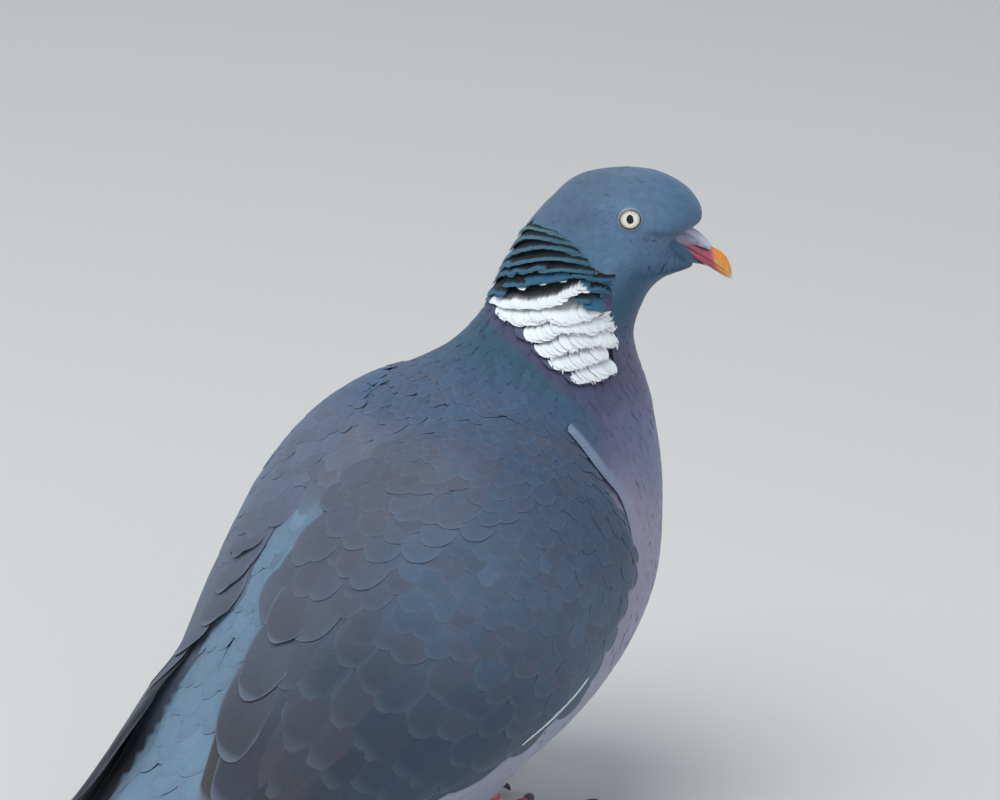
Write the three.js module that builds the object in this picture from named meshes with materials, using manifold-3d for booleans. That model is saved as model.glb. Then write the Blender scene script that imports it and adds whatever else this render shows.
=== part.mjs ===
// A common wood pigeon, life size, squatting at rest with its head turned to its right.
// Millimetres, +Z up. The bird faces -Y and its left side is +X; feet and tail tip rest on z = 0.
import * as THREE from 'three';
import { mergeVertices } from 'three/addons/utils/BufferGeometryUtils.js';
import Module from 'manifold-3d';

const wasm = await Module();
wasm.setup();

// ---- driving dimensions ------------------------------------------------------------------
const HEAD_Z = 178.5;          // height of the head's centre
const HEAD_TURN = 33;          // degrees the head is turned to the bird's right
const HEAD_ROLL = 8;           // degrees the right side of the head is tipped up
const TURN_AXIS_Y = 16;        // the neck turns about an upright line here
const GAP = 0.3;               // clearance between pieces that meet
const AROUND = 26;             // points round a section of the body

// Sections of the body, from crown to tail tip. A section is a plane tilted back from level.
// front and back are its reach to the breast and to the spine, half its half width, and the
// powers say how square its two halves are. turn is the share of the head's turn it takes.
const SECTION_KEYS = ['y', 'z', 'tilt', 'front', 'back', 'half', 'frontPower', 'backPower', 'turn'];
const BODY = {
  crown:    [-5, HEAD_Z + 17.3, 0, 0.6, 0.6, 0.6, 2.0, 2.0, 1],
  brow:     [-2, HEAD_Z + 15.2, 0, 13.5, 10.5, 9.0, 2.0, 2.0, 1],
  forehead: [-1, HEAD_Z + 9.5, 0, 23.2, 17.5, 14.0, 2.0, 2.0, 1],
  eye:      [0, HEAD_Z + 1.2, 0, 27.2, 24.5, 15.6, 2.0, 2.0, 1],
  lore:     [1, HEAD_Z - 5.4, 0, 21.5, 27.5, 15.4, 1.55, 2.0, 1],
  chin:     [4, HEAD_Z - 12.2, 2, 28.3, 28.0, 15.6, 1.35, 2.1, 1],
  jaw:      [6, HEAD_Z - 14.9, 3, 22.0, 27.0, 16.0, 1.7, 2.1, 0.97],
  throat:   [9, HEAD_Z - 19.5, 6, 19.5, 26.0, 17.5, 1.8, 2.1, 0.9],
  neck:     [14, HEAD_Z - 30.0, 12, 20.5, 26.0, 22.0, 2.0, 2.1, 0.7],
  collar:   [20, HEAD_Z - 44.0, 20, 33.0, 31.0, 30.5, 2.0, 2.1, 0.4],
  shoulder: [30, HEAD_Z - 60.0, 29, 47.0, 42.5, 44.0, 2.0, 2.2, 0.12],
  breast:   [46, HEAD_Z - 77.5, 37, 59.0, 50.0, 55.0, 2.1, 2.2, 0],
  trunk:    [68, HEAD_Z - 98.0, 44, 60.0, 50.0, 58.0, 2.2, 2.2, 0],
  belly:    [94, HEAD_Z - 119.5, 51, 49.0, 43.0, 55.0, 2.2, 2.1, 0],
  vent:     [122, HEAD_Z - 138.5, 59, 31.0, 31.0, 45.0, 2.1, 2.1, 0],
  rump:     [150, HEAD_Z - 151.5, 68, 18.0, 20.0, 34.0, 2.1, 2.1, 0],
};
const TAIL = {
  root:     [177, 18.0, 76, 10.0, 12.0, 27.0, 2.2, 2.2, 0],
  coverts:  [208, 12.4, 82, 8.0, 7.2, 26.5, 2.4, 2.4, 0],
  feathers: [240, 7.6, 86, 5.0, 3.8, 28.5, 2.8, 2.6, 0],
  spread:   [272, 4.4, 88, 4.5, 2.3, 31.0, 3.0, 2.6, 0],
  tip:      [296, 2.9, 90, 3.0, 1.0, 32.0, 3.0, 2.6, 0],
  end:      [303, 2.3, 90, 2.3, 0.8, 26.0, 3.0, 2.6, 0],
};
// The folded wings lie on this bed, which leaves the body at the rump and runs over the tail.
const WING_BED_END = {
  beside:   [178, 19.5, 73, 8.0, 12.0, 27.0, 2.0, 2.0, 0],
  over:     [215, 16.5, 80, 6.0, 8.0, 22.0, 2.0, 2.0, 0],
  tips:     [262, 10.8, 84, 4.0, 5.0, 15.0, 2.0, 2.0, 0],
};
const AT = Object.fromEntries([...Object.keys(BODY), ...Object.keys(TAIL)].map((name, i) => [name, i]));
const BODY_SECTIONS = [...Object.values(BODY), ...Object.values(TAIL)];
const BED_SECTIONS = [...Object.values(BODY), ...Object.values(WING_BED_END)];

// Where the body is parted, as section numbers.
const HEAD_END = AT.jaw + 0.7;
const NECK_END = AT.shoulder - 0.75;
const TRUNK_END = AT.root - 0.35;

// Edges of a folded wing: degrees round from the spine, by section number.
const WING_START = 9.5;
const WING_END = 18;
const WING_LOWER_EDGE = [[9.5, 66], [10, 80], [10.4, 91], [10.8, 103], [11.4, 109], [12.1, 113],
  [12.8, 111], [13.5, 106], [14.2, 101], [15, 97], [16, 95], [17, 92], [18, 80]];
const WING_INNER_EDGE = {
  right: [[9.5, 46], [10, 29], [10.6, 16], [11.4, 5], [12.1, -1], [13, -4], [13.8, -3], [14.4, 3],
    [15, 19], [16, 38], [17, 52], [18, 66]],
  left: [[9.5, 46], [10, 29], [10.6, 17], [11.4, 10], [12.1, 9], [13, 15], [13.6, 22], [14.2, 36],
    [15, 48], [16, 54], [17, 60], [18, 68]],
};
const WING_PROUD = 2.2;        // how far a wing stands out of the body's outline
const WING_DEEP = 2.6;         // and how far it is sunk into it
const WING_EDGE = 0.6;         // half its thickness at its edges
// How much further each wing stands out, by section number: the left one's tip is held off the rump.
const WING_LIFT = {
  right: [[9.5, 0], [18, 0]],
  left: [[9.5, 0], [13.6, 0], [14.3, 4.5], [15, 6.5], [16, 5], [18, 1.5]],
};
const WING_COLUMNS = 7;        // steps across a wing
const PRIMARIES_START = 14.3;  // section where the long dark flight feathers leave the wing

// How many rings of points each stretch of the body is given.
const ROWS = { head: 14, neck: 7, trunk: 16, tail: 10, wing: 14, primaries: 8 };

// Eye, in the head's own frame: the head's centre is the origin and it faces -Y.
const EYE = { side: 11.1, y: -3.6, z: 4.2, radius: 5.3, opening: 3.9, flare: 0.5, lidSide: 2 };

// Upper outline, mouth line and lower outline of the bill from root to tip, as [y, z] in the
// head's frame. The mouth and cere lines start inside the head; the mouth runs on past the tip.
const BILL_TIP_Y = -36.3;
const BILL_ROOT_Y = -16;
const BILL_TOP = [[-16, -0.2], [-21, -1.2], [-24.5, -2.5], [-27.6, -5.2], [-30.3, -7.7],
  [-32.8, -9.2], [-34.8, -11.4], [-35.9, -14.4], [-36.3, -17.2]];
const BILL_MOUTH = [[-10, -1.2], [-16, -3.2], [-18, -4.1], [-22.5, -7.1], [-26.8, -9.9],
  [-31.4, -13.1], [-34.2, -15.4], [-36.3, -17.9], [-40, -20]];
const BILL_BOTTOM = [[-16, -7.2], [-20, -9.0], [-24, -11.0], [-27.9, -12.9], [-31.2, -15.0],
  [-33.6, -16.6], [-36.3, -18.2]];
const CERE_LINE = [[-10, -2], [-16, -2.6], [-20, -4.6], [-24, -6.6], [-30.6, -8.3], [-31.2, -6.0]];
const BILL_HALF = [[-16, 6.4], [-18, 5.8], [-22, 4.5], [-26, 3.5], [-30, 2.8], [-33, 2.2],
  [-35.3, 1.3], [-36.3, 0.5]];
const LOWER_MANDIBLE_TIP_Y = -34.6;
// A box that holds the bill, for cutting it along its mouth and its cere.
const BILL_BOX = { behind: -10, beyond: -40, side: 12, top: 10, bottom: -40 };

// Legs. The tarsus is parted from the foot a little way up, by a gap that is a share of its length.
const LEG = { side: 20, ankleY: 72, ankleZ: 34, footY: 57, footZ: 7.5 };
const ANKLE_CUT = 0.3;
const ANKLE_GAP = 0.012;
const TARSUS_RADIUS = [[0, 3.3], [0.5, 2.6], [1, 3.6]];
const THIGH = { out: 3, y: 70, z: 30, radius: 13, half: 22, tilt: -28 };
const KNUCKLE = { radius: 4.2, flatten: 0.9, z: 5.2 };
const TOES = [
  { name: 'inner', length: 24, aim: -28, claw: 7 },
  { name: 'middle', length: 32, aim: 4, claw: 8 },
  { name: 'outer', length: 26, aim: 34, claw: 7 },
  { name: 'hind', length: 16, aim: 176, claw: 7 },
];
// Height of a toe's and a claw's middle line and their radius, by the share of their length.
const TOE_HEIGHT = [[0, 5.6], [0.22, 4.6], [0.5, 3.0], [0.8, 2.6], [1, 2.7]];
const TOE_RADIUS = [[0, 3.3], [0.2, 3.0], [0.35, 2.6], [0.5, 3.0], [0.65, 2.4], [0.8, 2.7], [1, 1.8]];
const CLAW_HEIGHT = [[0, 2.7], [0.45, 3.2], [0.8, 2.2], [1, 0.5]];
const CLAW_RADIUS = [[0, 1.5], [0.4, 1.25], [0.8, 0.75], [1, 0.3]];
const CLAW_GAP = 0.5;          // the rounded end of the toe needs more than the usual clearance

// ---- curves ------------------------------------------------------------------------------
const radians = THREE.MathUtils.degToRad;
const clamp = THREE.MathUtils.clamp;
const lerp = THREE.MathUtils.lerp;

function hermite(a, b, slopeA, slopeB, f) {
  const f2 = f * f;
  const f3 = f2 * f;
  return (2 * f3 - 3 * f2 + 1) * a + (f3 - 2 * f2 + f) * slopeA
    + (3 * f2 - 2 * f3) * b + (f3 - f2) * slopeB;
}

// A smooth curve through [position, value] keys.
function track(keys, position) {
  const last = keys.length - 1;
  const p = clamp(position, keys[0][0], keys[last][0]);
  let i = 0;
  while (i < last - 1 && keys[i + 1][0] < p) i += 1;
  const slope = (k) => {
    const a = keys[Math.max(k - 1, 0)];
    const b = keys[Math.min(k + 1, last)];
    return (b[1] - a[1]) / (b[0] - a[0]);
  };
  const span = keys[i + 1][0] - keys[i][0];
  const f = (p - keys[i][0]) / span;
  return hermite(keys[i][1], keys[i + 1][1], slope(i) * span, slope(i + 1) * span, f);
}

// The section at a fractional number, blended smoothly along the line of the sections' centres.
function sectionAt(sections, number) {
  const last = sections.length - 1;
  const n = clamp(number, 0, last);
  const i = Math.min(Math.floor(n), last - 1);
  const along = [0];
  for (let k = 1; k <= last; k += 1) {
    const step = Math.hypot(sections[k][0] - sections[k - 1][0], sections[k][1] - sections[k - 1][1]);
    along.push(along[k - 1] + step);
  }
  const span = along[i + 1] - along[i];
  const slope = (k, column) => {
    const a = Math.max(k - 1, 0);
    const b = Math.min(k + 1, last);
    return (sections[b][column] - sections[a][column]) / (along[b] - along[a]) * span;
  };
  const values = sections[0].map((_, column) => hermite(
    sections[i][column], sections[i + 1][column], slope(i, column), slope(i + 1, column), n - i));
  return Object.fromEntries(SECTION_KEYS.map((key, column) => [key, values[column]]));
}

// Tips and turns a point with the head, by a share of the head's whole turn.
function turnWithHead(point, share = 1) {
  const roll = radians(HEAD_ROLL * share);
  const turn = radians(HEAD_TURN * share);
  const x = point.x * Math.cos(roll) + (point.z - HEAD_Z) * Math.sin(roll);
  const z = -point.x * Math.sin(roll) + (point.z - HEAD_Z) * Math.cos(roll);
  const y = point.y - TURN_AXIS_Y;
  return new THREE.Vector3(
    x * Math.cos(turn) + y * Math.sin(turn),
    -x * Math.sin(turn) + y * Math.cos(turn) + TURN_AXIS_Y,
    z + HEAD_Z);
}

// A point on the body: angle 0 is the spine, 180 the breast, and a positive angle is to the left.
function bodyPoint(sections, number, angle) {
  const s = sectionAt(sections, number);
  const a = radians(angle);
  const front = Math.cos(a) < 0;
  const power = 2 / (front ? s.frontPower : s.backPower);
  const shaped = (value) => Math.sign(value) * Math.abs(value) ** power;
  const reach = (front ? s.front : s.back) * shaped(Math.cos(a));
  const tilt = radians(s.tilt);
  const point = new THREE.Vector3(
    s.half * shaped(Math.sin(a)), s.y + reach * Math.cos(tilt), s.z + reach * Math.sin(tilt));
  return turnWithHead(point, s.turn);
}

function bodyNormal(sections, number, angle) {
  const step = 0.01;
  const along = bodyPoint(sections, number + step, angle).sub(bodyPoint(sections, number - step, angle));
  const round = bodyPoint(sections, number, angle + 1).sub(bodyPoint(sections, number, angle - 1));
  return round.cross(along).normalize();
}

// ---- solids ------------------------------------------------------------------------------
function solidFrom(vertices, triangles) {
  const geometry = new THREE.BufferGeometry();
  const numbers = vertices.flatMap((v) => [v.x, v.y, v.z]);
  geometry.setAttribute('position', new THREE.Float32BufferAttribute(numbers, 3));
  geometry.setIndex(triangles.flat());
  return toManifold(geometry);
}

function toManifold(geometry) {
  const bare = geometry.clone();
  bare.deleteAttribute('normal');
  bare.deleteAttribute('uv');
  const merged = mergeVertices(bare, 1e-4);
  const build = (triVerts) => new wasm.Manifold(new wasm.Mesh({
    numProp: 3, vertProperties: new Float32Array(merged.attributes.position.array), triVerts }));
  const triangles = new Uint32Array(merged.index.array);
  const solid = build(triangles);
  return solid.volume() > 0 ? solid : build(triangles.reverse());
}

function toGeometry(solid) {
  const { vertProperties, triVerts } = solid.getMesh();
  const geometry = new THREE.BufferGeometry();
  geometry.setAttribute('position', new THREE.Float32BufferAttribute(vertProperties, 3));
  geometry.setIndex([...triVerts]);
  geometry.computeVertexNormals();
  return geometry;
}

// A closed tube through rings of points, with a flat fan at each end.
function tubeSolid(rings) {
  const count = rings[0].length;
  const vertices = rings.flat();
  const triangles = [];
  for (let r = 0; r < rings.length - 1; r += 1) {
    for (let k = 0; k < count; k += 1) {
      const a = r * count + k;
      const b = r * count + (k + 1) % count;
      triangles.push([a, b, a + count], [b, b + count, a + count]);
    }
  }
  const close = (start, flip) => {
    const middle = new THREE.Vector3();
    for (let k = 0; k < count; k += 1) middle.add(vertices[start + k]);
    vertices.push(middle.divideScalar(count));
    const centre = vertices.length - 1;
    for (let k = 0; k < count; k += 1) {
      const a = start + k;
      const b = start + (k + 1) % count;
      triangles.push(flip ? [centre, b, a] : [centre, a, b]);
    }
  };
  close(0, true);
  close((rings.length - 1) * count, false);
  return solidFrom(vertices, triangles);
}

// A closed shell between two sheets of points with the same rows and columns.
function shellSolid(outer, inner) {
  const rows = outer.length;
  const columns = outer[0].length;
  const vertices = [...outer.flat(), ...inner.flat()];
  const offset = rows * columns;
  const triangles = [];
  const quad = (a, b, c, d) => triangles.push([a, b, c], [a, c, d]);
  for (let r = 0; r < rows - 1; r += 1) {
    for (let c = 0; c < columns - 1; c += 1) {
      const a = r * columns + c;
      quad(a, a + 1, a + 1 + columns, a + columns);
      quad(offset + a, offset + a + columns, offset + a + 1 + columns, offset + a + 1);
    }
  }
  const rim = [];
  for (let c = 0; c < columns - 1; c += 1) rim.push(c);
  for (let r = 0; r < rows - 1; r += 1) rim.push(r * columns + columns - 1);
  for (let c = columns - 1; c > 0; c -= 1) rim.push((rows - 1) * columns + c);
  for (let r = rows - 1; r > 0; r -= 1) rim.push(r * columns);
  rim.forEach((a, i) => {
    const b = rim[(i + 1) % rim.length];
    quad(b, a, a + offset, b + offset);
  });
  return solidFrom(vertices, triangles);
}

// A prism across the bird: an outline in the (y, z) plane, run from side to side.
function crossPrism(outline, halfWidth) {
  const shape = new THREE.Shape(outline.map(([y, z]) => new THREE.Vector2(y, z)));
  const geometry = new THREE.ExtrudeGeometry(shape, { depth: 2 * halfWidth, bevelEnabled: false });
  geometry.translate(0, 0, -halfWidth);
  geometry.applyMatrix4(new THREE.Matrix4().set(0, 0, 1, 0, 1, 0, 0, 0, 0, 1, 0, 0, 0, 0, 0, 1));
  return toManifold(geometry);
}

// ---- body --------------------------------------------------------------------------------
function bodyLength(from, to, steps) {
  const rings = [];
  for (let r = 0; r <= steps; r += 1) {
    const number = lerp(from, to, r / steps);
    const ring = [];
    for (let k = 0; k < AROUND; k += 1) {
      const angle = 360 * k / AROUND - 180;
      const point = bodyPoint(BODY_SECTIONS, number, angle);
      point.z = Math.max(point.z, 0);
      ring.push(point);
    }
    rings.push(ring);
  }
  return tubeSolid(rings);
}

// Half the width of a thin cut across the body, in section numbers, so that it opens by the
// clearance where the sections lie closest.
function halfCut(number) {
  const step = 0.01;
  const spacings = [0, 90, 180, 270].map((angle) => bodyPoint(BED_SECTIONS, number, angle)
    .distanceTo(bodyPoint(BED_SECTIONS, number + step, angle)) / step);
  return 0.6 * GAP / Math.min(...spacings);
}

function bodyPiece(from, to, steps) {
  const last = BODY_SECTIONS.length - 1;
  return bodyLength(from > 0 ? from + halfCut(from) : 0, to < last ? to - halfCut(to) : last, steps);
}

// ---- wings -------------------------------------------------------------------------------
const spaced = (from, to, steps) => Array.from({ length: steps + 1 }, (_, i) => lerp(from, to, i / steps));
const WING_CUT = halfCut(PRIMARIES_START);
const WING_ROWS = spaced(WING_START, PRIMARIES_START - WING_CUT, ROWS.wing);
const PRIMARY_ROWS = spaced(PRIMARIES_START + WING_CUT, WING_END, ROWS.primaries);

// Part of a folded wing as a cushion-shaped shell, thick in the middle and thin at its edges.
function wingShell(side, numbers, grow = 0) {
  const sign = side === 'left' ? 1 : -1;
  const outer = [];
  const inner = [];
  numbers.forEach((number) => {
    const low = track(WING_LOWER_EDGE, number);
    const high = track(WING_INNER_EDGE[side], number);
    const { half } = sectionAt(BED_SECTIONS, number);
    const rear = clamp((WING_END - number) / (WING_END - PRIMARIES_START), 0.25, 1);
    const lift = track(WING_LIFT[side], number);
    const outerRow = [];
    const innerRow = [];
    for (let c = 0; c <= WING_COLUMNS; c += 1) {
      const across = c / WING_COLUMNS;
      const widen = (2 * across - 1) * THREE.MathUtils.radToDeg(grow / half);
      const angle = sign * (lerp(high, low, across) + widen);
      const bulge = (1 - Math.abs(2 * across - 1) ** 3) ** 0.5;
      const base = bodyPoint(BED_SECTIONS, number, angle);
      const out = bodyNormal(BED_SECTIONS, number, angle);
      const proud = WING_EDGE + (WING_PROUD - WING_EDGE) * bulge * rear + lift + grow;
      const deep = -WING_EDGE - (WING_DEEP - WING_EDGE) * bulge * rear - grow;
      outerRow.push(base.clone().addScaledVector(out, proud));
      innerRow.push(base.clone().addScaledVector(out, deep));
    }
    outer.push(outerRow);
    inner.push(innerRow);
  });
  return shellSolid(outer, inner);
}

// The room a whole wing needs, with its clearance all round.
function wingRoom(side) {
  const numbers = [WING_START - 2 * WING_CUT, ...WING_ROWS.slice(1), ...PRIMARY_ROWS];
  return wingShell(side, numbers, GAP);
}

// ---- head --------------------------------------------------------------------------------
const headToBody = (solid) => solid.warp((v) => {
  const p = turnWithHead(new THREE.Vector3(v[0], v[1], v[2] + HEAD_Z));
  v[0] = p.x;
  v[1] = p.y;
  v[2] = p.z;
});

function billSolid(grow = 0) {
  const steps = 10;
  const count = 12;
  const rings = [];
  for (let r = 0; r <= steps; r += 1) {
    const y = lerp(BILL_ROOT_Y, BILL_TIP_Y, r / steps);
    const heights = [BILL_TOP, BILL_BOTTOM].map((line) => track(line.map(([a, b]) => [-a, b]), -y));
    const half = track(BILL_HALF.map(([a, b]) => [-a, b]), -y) + grow;
    const middle = (heights[0] + heights[1]) / 2;
    const tall = (heights[0] - heights[1]) / 2 + grow;
    const ring = [];
    for (let k = 0; k < count; k += 1) {
      const a = 2 * Math.PI * k / count;
      const square = Math.abs(Math.sin(a)) ** 0.9 * Math.sign(Math.sin(a));
      ring.push(new THREE.Vector3(half * Math.cos(a), y - (r === steps ? grow : 0), middle + tall * square));
    }
    rings.push(ring);
  }
  return tubeSolid(rings);
}

function buildBill() {
  const whole = billSolid();
  const { behind, beyond, side, top, bottom } = BILL_BOX;
  const shifted = (line, dz) => line.map(([y, z]) => [y, z + dz]);
  const lowerLip = shifted(BILL_MOUTH, -GAP / 2).filter(([y]) => y > LOWER_MANDIBLE_TIP_Y);
  const aboveMouth = crossPrism([...shifted(BILL_MOUTH, GAP / 2), [beyond, top], [behind, top]], side);
  const belowMouth = crossPrism([...lowerLip, [LOWER_MANDIBLE_TIP_Y, bottom], [behind, bottom]], side);
  const [cereFront, cereFrontZ] = CERE_LINE[CERE_LINE.length - 1];
  const roomFront = cereFront - GAP;
  const aboveCere = crossPrism([...shifted(CERE_LINE, GAP / 2), [cereFront, top], [behind, top]], side);
  const cereRoom = crossPrism(
    [...shifted(CERE_LINE, -GAP / 2), [roomFront, cereFrontZ], [roomFront, top], [behind, top]], side);
  return {
    cere: whole.intersect(aboveCere),
    bill_upper: whole.intersect(aboveMouth).subtract(cereRoom),
    bill_lower: whole.intersect(belowMouth),
  };
}

function eyeBall(sign, grow = 0) {
  const ball = new THREE.SphereGeometry(EYE.radius + grow, 16, 8);
  ball.rotateZ(Math.PI / 2);
  ball.translate(sign * EYE.side, EYE.y, EYE.z);
  return toManifold(ball);
}

function eyeOpening(sign) {
  const length = 10;
  const hole = new THREE.CylinderGeometry(EYE.opening + EYE.flare, EYE.opening, length, 16);
  hole.rotateZ(sign * -Math.PI / 2);
  hole.translate(sign * (EYE.side + EYE.lidSide + length / 2), EYE.y, EYE.z);
  return toManifold(hole);
}

// ---- legs --------------------------------------------------------------------------------
// A round limb along a path, with its radius given by keys along it, flattened on the floor.
function limb(points, radiusKeys, sides, steps, { from = 0, to = 1, grow = 0 } = {}) {
  const curve = new THREE.CatmullRomCurve3(points);
  const rings = [];
  const side = new THREE.Vector3();
  for (let r = 0; r <= steps; r += 1) {
    const t = lerp(from, to, r / steps);
    const centre = curve.getPoint(t);
    const ahead = curve.getTangent(t);
    side.set(-ahead.y, ahead.x, 0).normalize();
    const up = new THREE.Vector3().crossVectors(ahead, side);
    const radius = track(radiusKeys, t) + grow;
    const ring = [];
    for (let k = 0; k < sides; k += 1) {
      const a = 2 * Math.PI * k / sides;
      const point = centre.clone().addScaledVector(side, radius * Math.cos(a));
      point.addScaledVector(up, radius * Math.sin(a));
      point.z = Math.max(point.z, 0);
      ring.push(point);
    }
    rings.push(ring);
  }
  return tubeSolid(rings);
}

// Points along a toe's line, at heights given by keys along the stretch from one length to another.
function toePath(sign, toe, from, to, heightKeys) {
  const aim = radians(toe.aim);
  const ahead = new THREE.Vector3(sign * Math.sin(aim), -Math.cos(aim), 0);
  const start = new THREE.Vector3(sign * LEG.side, LEG.footY, 0);
  return heightKeys.map(([t, z]) => start.clone().addScaledVector(ahead, lerp(from, to, t)).setZ(z));
}

function toeSolid(sign, toe) {
  return limb(toePath(sign, toe, 0, toe.length, TOE_HEIGHT), TOE_RADIUS, 7, 7);
}

function clawSolid(sign, toe) {
  const from = toe.length + CLAW_GAP;
  return limb(toePath(sign, toe, from, from + toe.claw, CLAW_HEIGHT), CLAW_RADIUS, 6, 4);
}

function footSolid(sign) {
  const knuckle = new THREE.SphereGeometry(KNUCKLE.radius, 10, 7);
  knuckle.scale(1, 1, KNUCKLE.flatten);
  knuckle.translate(sign * LEG.side, LEG.footY, KNUCKLE.z);
  const start = toManifold(knuckle).add(tarsusSolid(sign, { to: ANKLE_CUT }));
  return TOES.reduce((foot, toe) => foot.add(toeSolid(sign, toe)), start);
}

// The tarsus from the foot's knuckle to the heel; the foot keeps its lowest stretch.
function tarsusSolid(sign, range) {
  const foot = new THREE.Vector3(sign * LEG.side, LEG.footY, LEG.footZ - 2);
  const heel = new THREE.Vector3(sign * (LEG.side + 1), LEG.ankleY, LEG.ankleZ);
  const middle = foot.clone().lerp(heel, 0.5).add(new THREE.Vector3(0, -3, 1.5));
  return limb([foot, middle, heel], TARSUS_RADIUS, 8, 4, range);
}

// The feathered thigh shows under the flank and round the top of the tarsus.
function thighSolid(sign, grow = 0) {
  const thigh = new THREE.SphereGeometry(1, 14, 9);
  thigh.scale(THIGH.radius + grow, THIGH.half + grow, THIGH.radius + grow);
  thigh.rotateX(radians(THIGH.tilt));
  thigh.translate(sign * (LEG.side + THIGH.out), THIGH.y, THIGH.z);
  return toManifold(thigh);
}

// ---- the whole bird ----------------------------------------------------------------------
function buildSolids() {
  const bill = buildBill();
  const parts = {};
  Object.entries(bill).forEach(([name, solid]) => {
    parts[name] = headToBody(solid);
  });
  let head = bodyPiece(0, HEAD_END, ROWS.head);
  head = head.subtract(headToBody(billSolid(GAP)));
  const sides = { left: 1, right: -1 };
  Object.entries(sides).forEach(([side, sign]) => {
    parts[`eye_${side}`] = headToBody(eyeBall(sign));
    head = head.subtract(headToBody(eyeBall(sign, GAP).add(eyeOpening(sign))));
  });
  parts.head = head;
  parts.neck = bodyPiece(HEAD_END, NECK_END, ROWS.neck);
  let trunk = bodyPiece(NECK_END, TRUNK_END, ROWS.trunk);
  let tail = bodyPiece(TRUNK_END, BODY_SECTIONS.length - 1, ROWS.tail);
  Object.entries(sides).forEach(([side, sign]) => {
    const room = wingRoom(side);
    parts[`wing_${side}`] = wingShell(side, WING_ROWS);
    parts[`primaries_${side}`] = wingShell(side, PRIMARY_ROWS);
    const thighRoom = thighSolid(sign, GAP);
    const thigh = thighSolid(sign).subtract(room);
    const tarsusRoom = tarsusSolid(sign, { from: ANKLE_CUT, grow: GAP });
    trunk = trunk.subtract(room).subtract(thighRoom).subtract(tarsusRoom);
    tail = tail.subtract(room);
    parts[`thigh_${side}`] = thigh.subtract(tarsusRoom);
    parts[`foot_${side}`] = footSolid(sign);
    parts[`tarsus_${side}`] = tarsusSolid(sign, { from: ANKLE_CUT + ANKLE_GAP });
    TOES.forEach((toe) => {
      parts[`claw_${toe.name}_${side}`] = clawSolid(sign, toe);
    });
  });
  parts.trunk = trunk;
  parts.tail = tail;
  return parts;
}

const COLOURS = {
  head: 0x5c6e82, neck: 0x53677a, trunk: 0x8d8f9c, tail: 0x5d6470, wing: 0x595d6b,
  primaries: 0x24262c, thigh: 0x9296a3, tarsus: 0xa05a62, foot: 0xa45c6c, claw: 0x3a3338,
  eye: 0xe0e0c4, cere: 0xc0bccb, bill: 0xd98b4a,
};

function buildBird() {
  const group = new THREE.Group();
  Object.entries(buildSolids()).forEach(([name, solid]) => {
    const kind = name.split('_')[0];
    const material = new THREE.MeshStandardMaterial({
      color: COLOURS[kind], roughness: kind === 'eye' ? 0.1 : 0.8, metalness: 0 });
    const mesh = new THREE.Mesh(toGeometry(solid), material);
    mesh.name = name;
    group.add(mesh);
  });
  const box = new THREE.Box3().setFromObject(group);
  const centre = box.getCenter(new THREE.Vector3());
  group.position.set(-centre.x, -centre.y, -box.min.z);
  return group;
}

export default buildBird();
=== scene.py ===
"""A common wood pigeon standing still with its head turned, as a museum would show it.

The CAD frame gives where the bird is. Its body sections are repeated here, so that one smooth skin and
every feather can be laid out on the same surface. Lengths are in millimetres until a mesh is made.
"""

from collections import namedtuple
from functools import partial
from itertools import product

import bmesh
import bpy
import numpy as np
from mathutils import Matrix, Vector
from mathutils.bvhtree import BVHTree


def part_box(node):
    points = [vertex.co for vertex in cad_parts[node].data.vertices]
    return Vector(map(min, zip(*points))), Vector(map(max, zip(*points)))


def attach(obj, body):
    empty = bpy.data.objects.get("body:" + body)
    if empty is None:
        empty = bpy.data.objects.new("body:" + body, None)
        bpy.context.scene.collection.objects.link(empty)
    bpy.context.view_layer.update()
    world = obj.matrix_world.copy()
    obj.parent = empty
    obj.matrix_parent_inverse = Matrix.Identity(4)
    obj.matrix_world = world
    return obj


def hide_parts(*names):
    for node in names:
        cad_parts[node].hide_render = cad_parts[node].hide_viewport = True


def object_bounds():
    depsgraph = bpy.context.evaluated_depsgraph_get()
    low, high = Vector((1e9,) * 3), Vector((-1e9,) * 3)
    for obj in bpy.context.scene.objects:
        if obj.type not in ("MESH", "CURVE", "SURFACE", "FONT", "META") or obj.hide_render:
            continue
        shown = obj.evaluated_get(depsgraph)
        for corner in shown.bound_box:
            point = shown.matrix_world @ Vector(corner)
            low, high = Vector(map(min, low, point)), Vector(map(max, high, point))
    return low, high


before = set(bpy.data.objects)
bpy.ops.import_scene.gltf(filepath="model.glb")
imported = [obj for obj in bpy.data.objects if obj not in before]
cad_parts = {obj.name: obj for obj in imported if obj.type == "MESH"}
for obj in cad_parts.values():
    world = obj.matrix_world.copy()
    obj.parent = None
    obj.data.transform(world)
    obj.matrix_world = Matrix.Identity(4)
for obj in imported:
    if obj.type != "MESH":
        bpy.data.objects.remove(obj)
cad_low, cad_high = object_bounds()
chance = np.random.default_rng(7)
MM = 0.001


# ---- The bird's form: body sections from the crown to the tip of the tail ----

HEAD_Z = 178.5
HEAD_TURN = np.radians(33)
HEAD_ROLL = np.radians(8)
TURN_AXIS_Y = 16.0
TAIL_END_Y = 303.0

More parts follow.
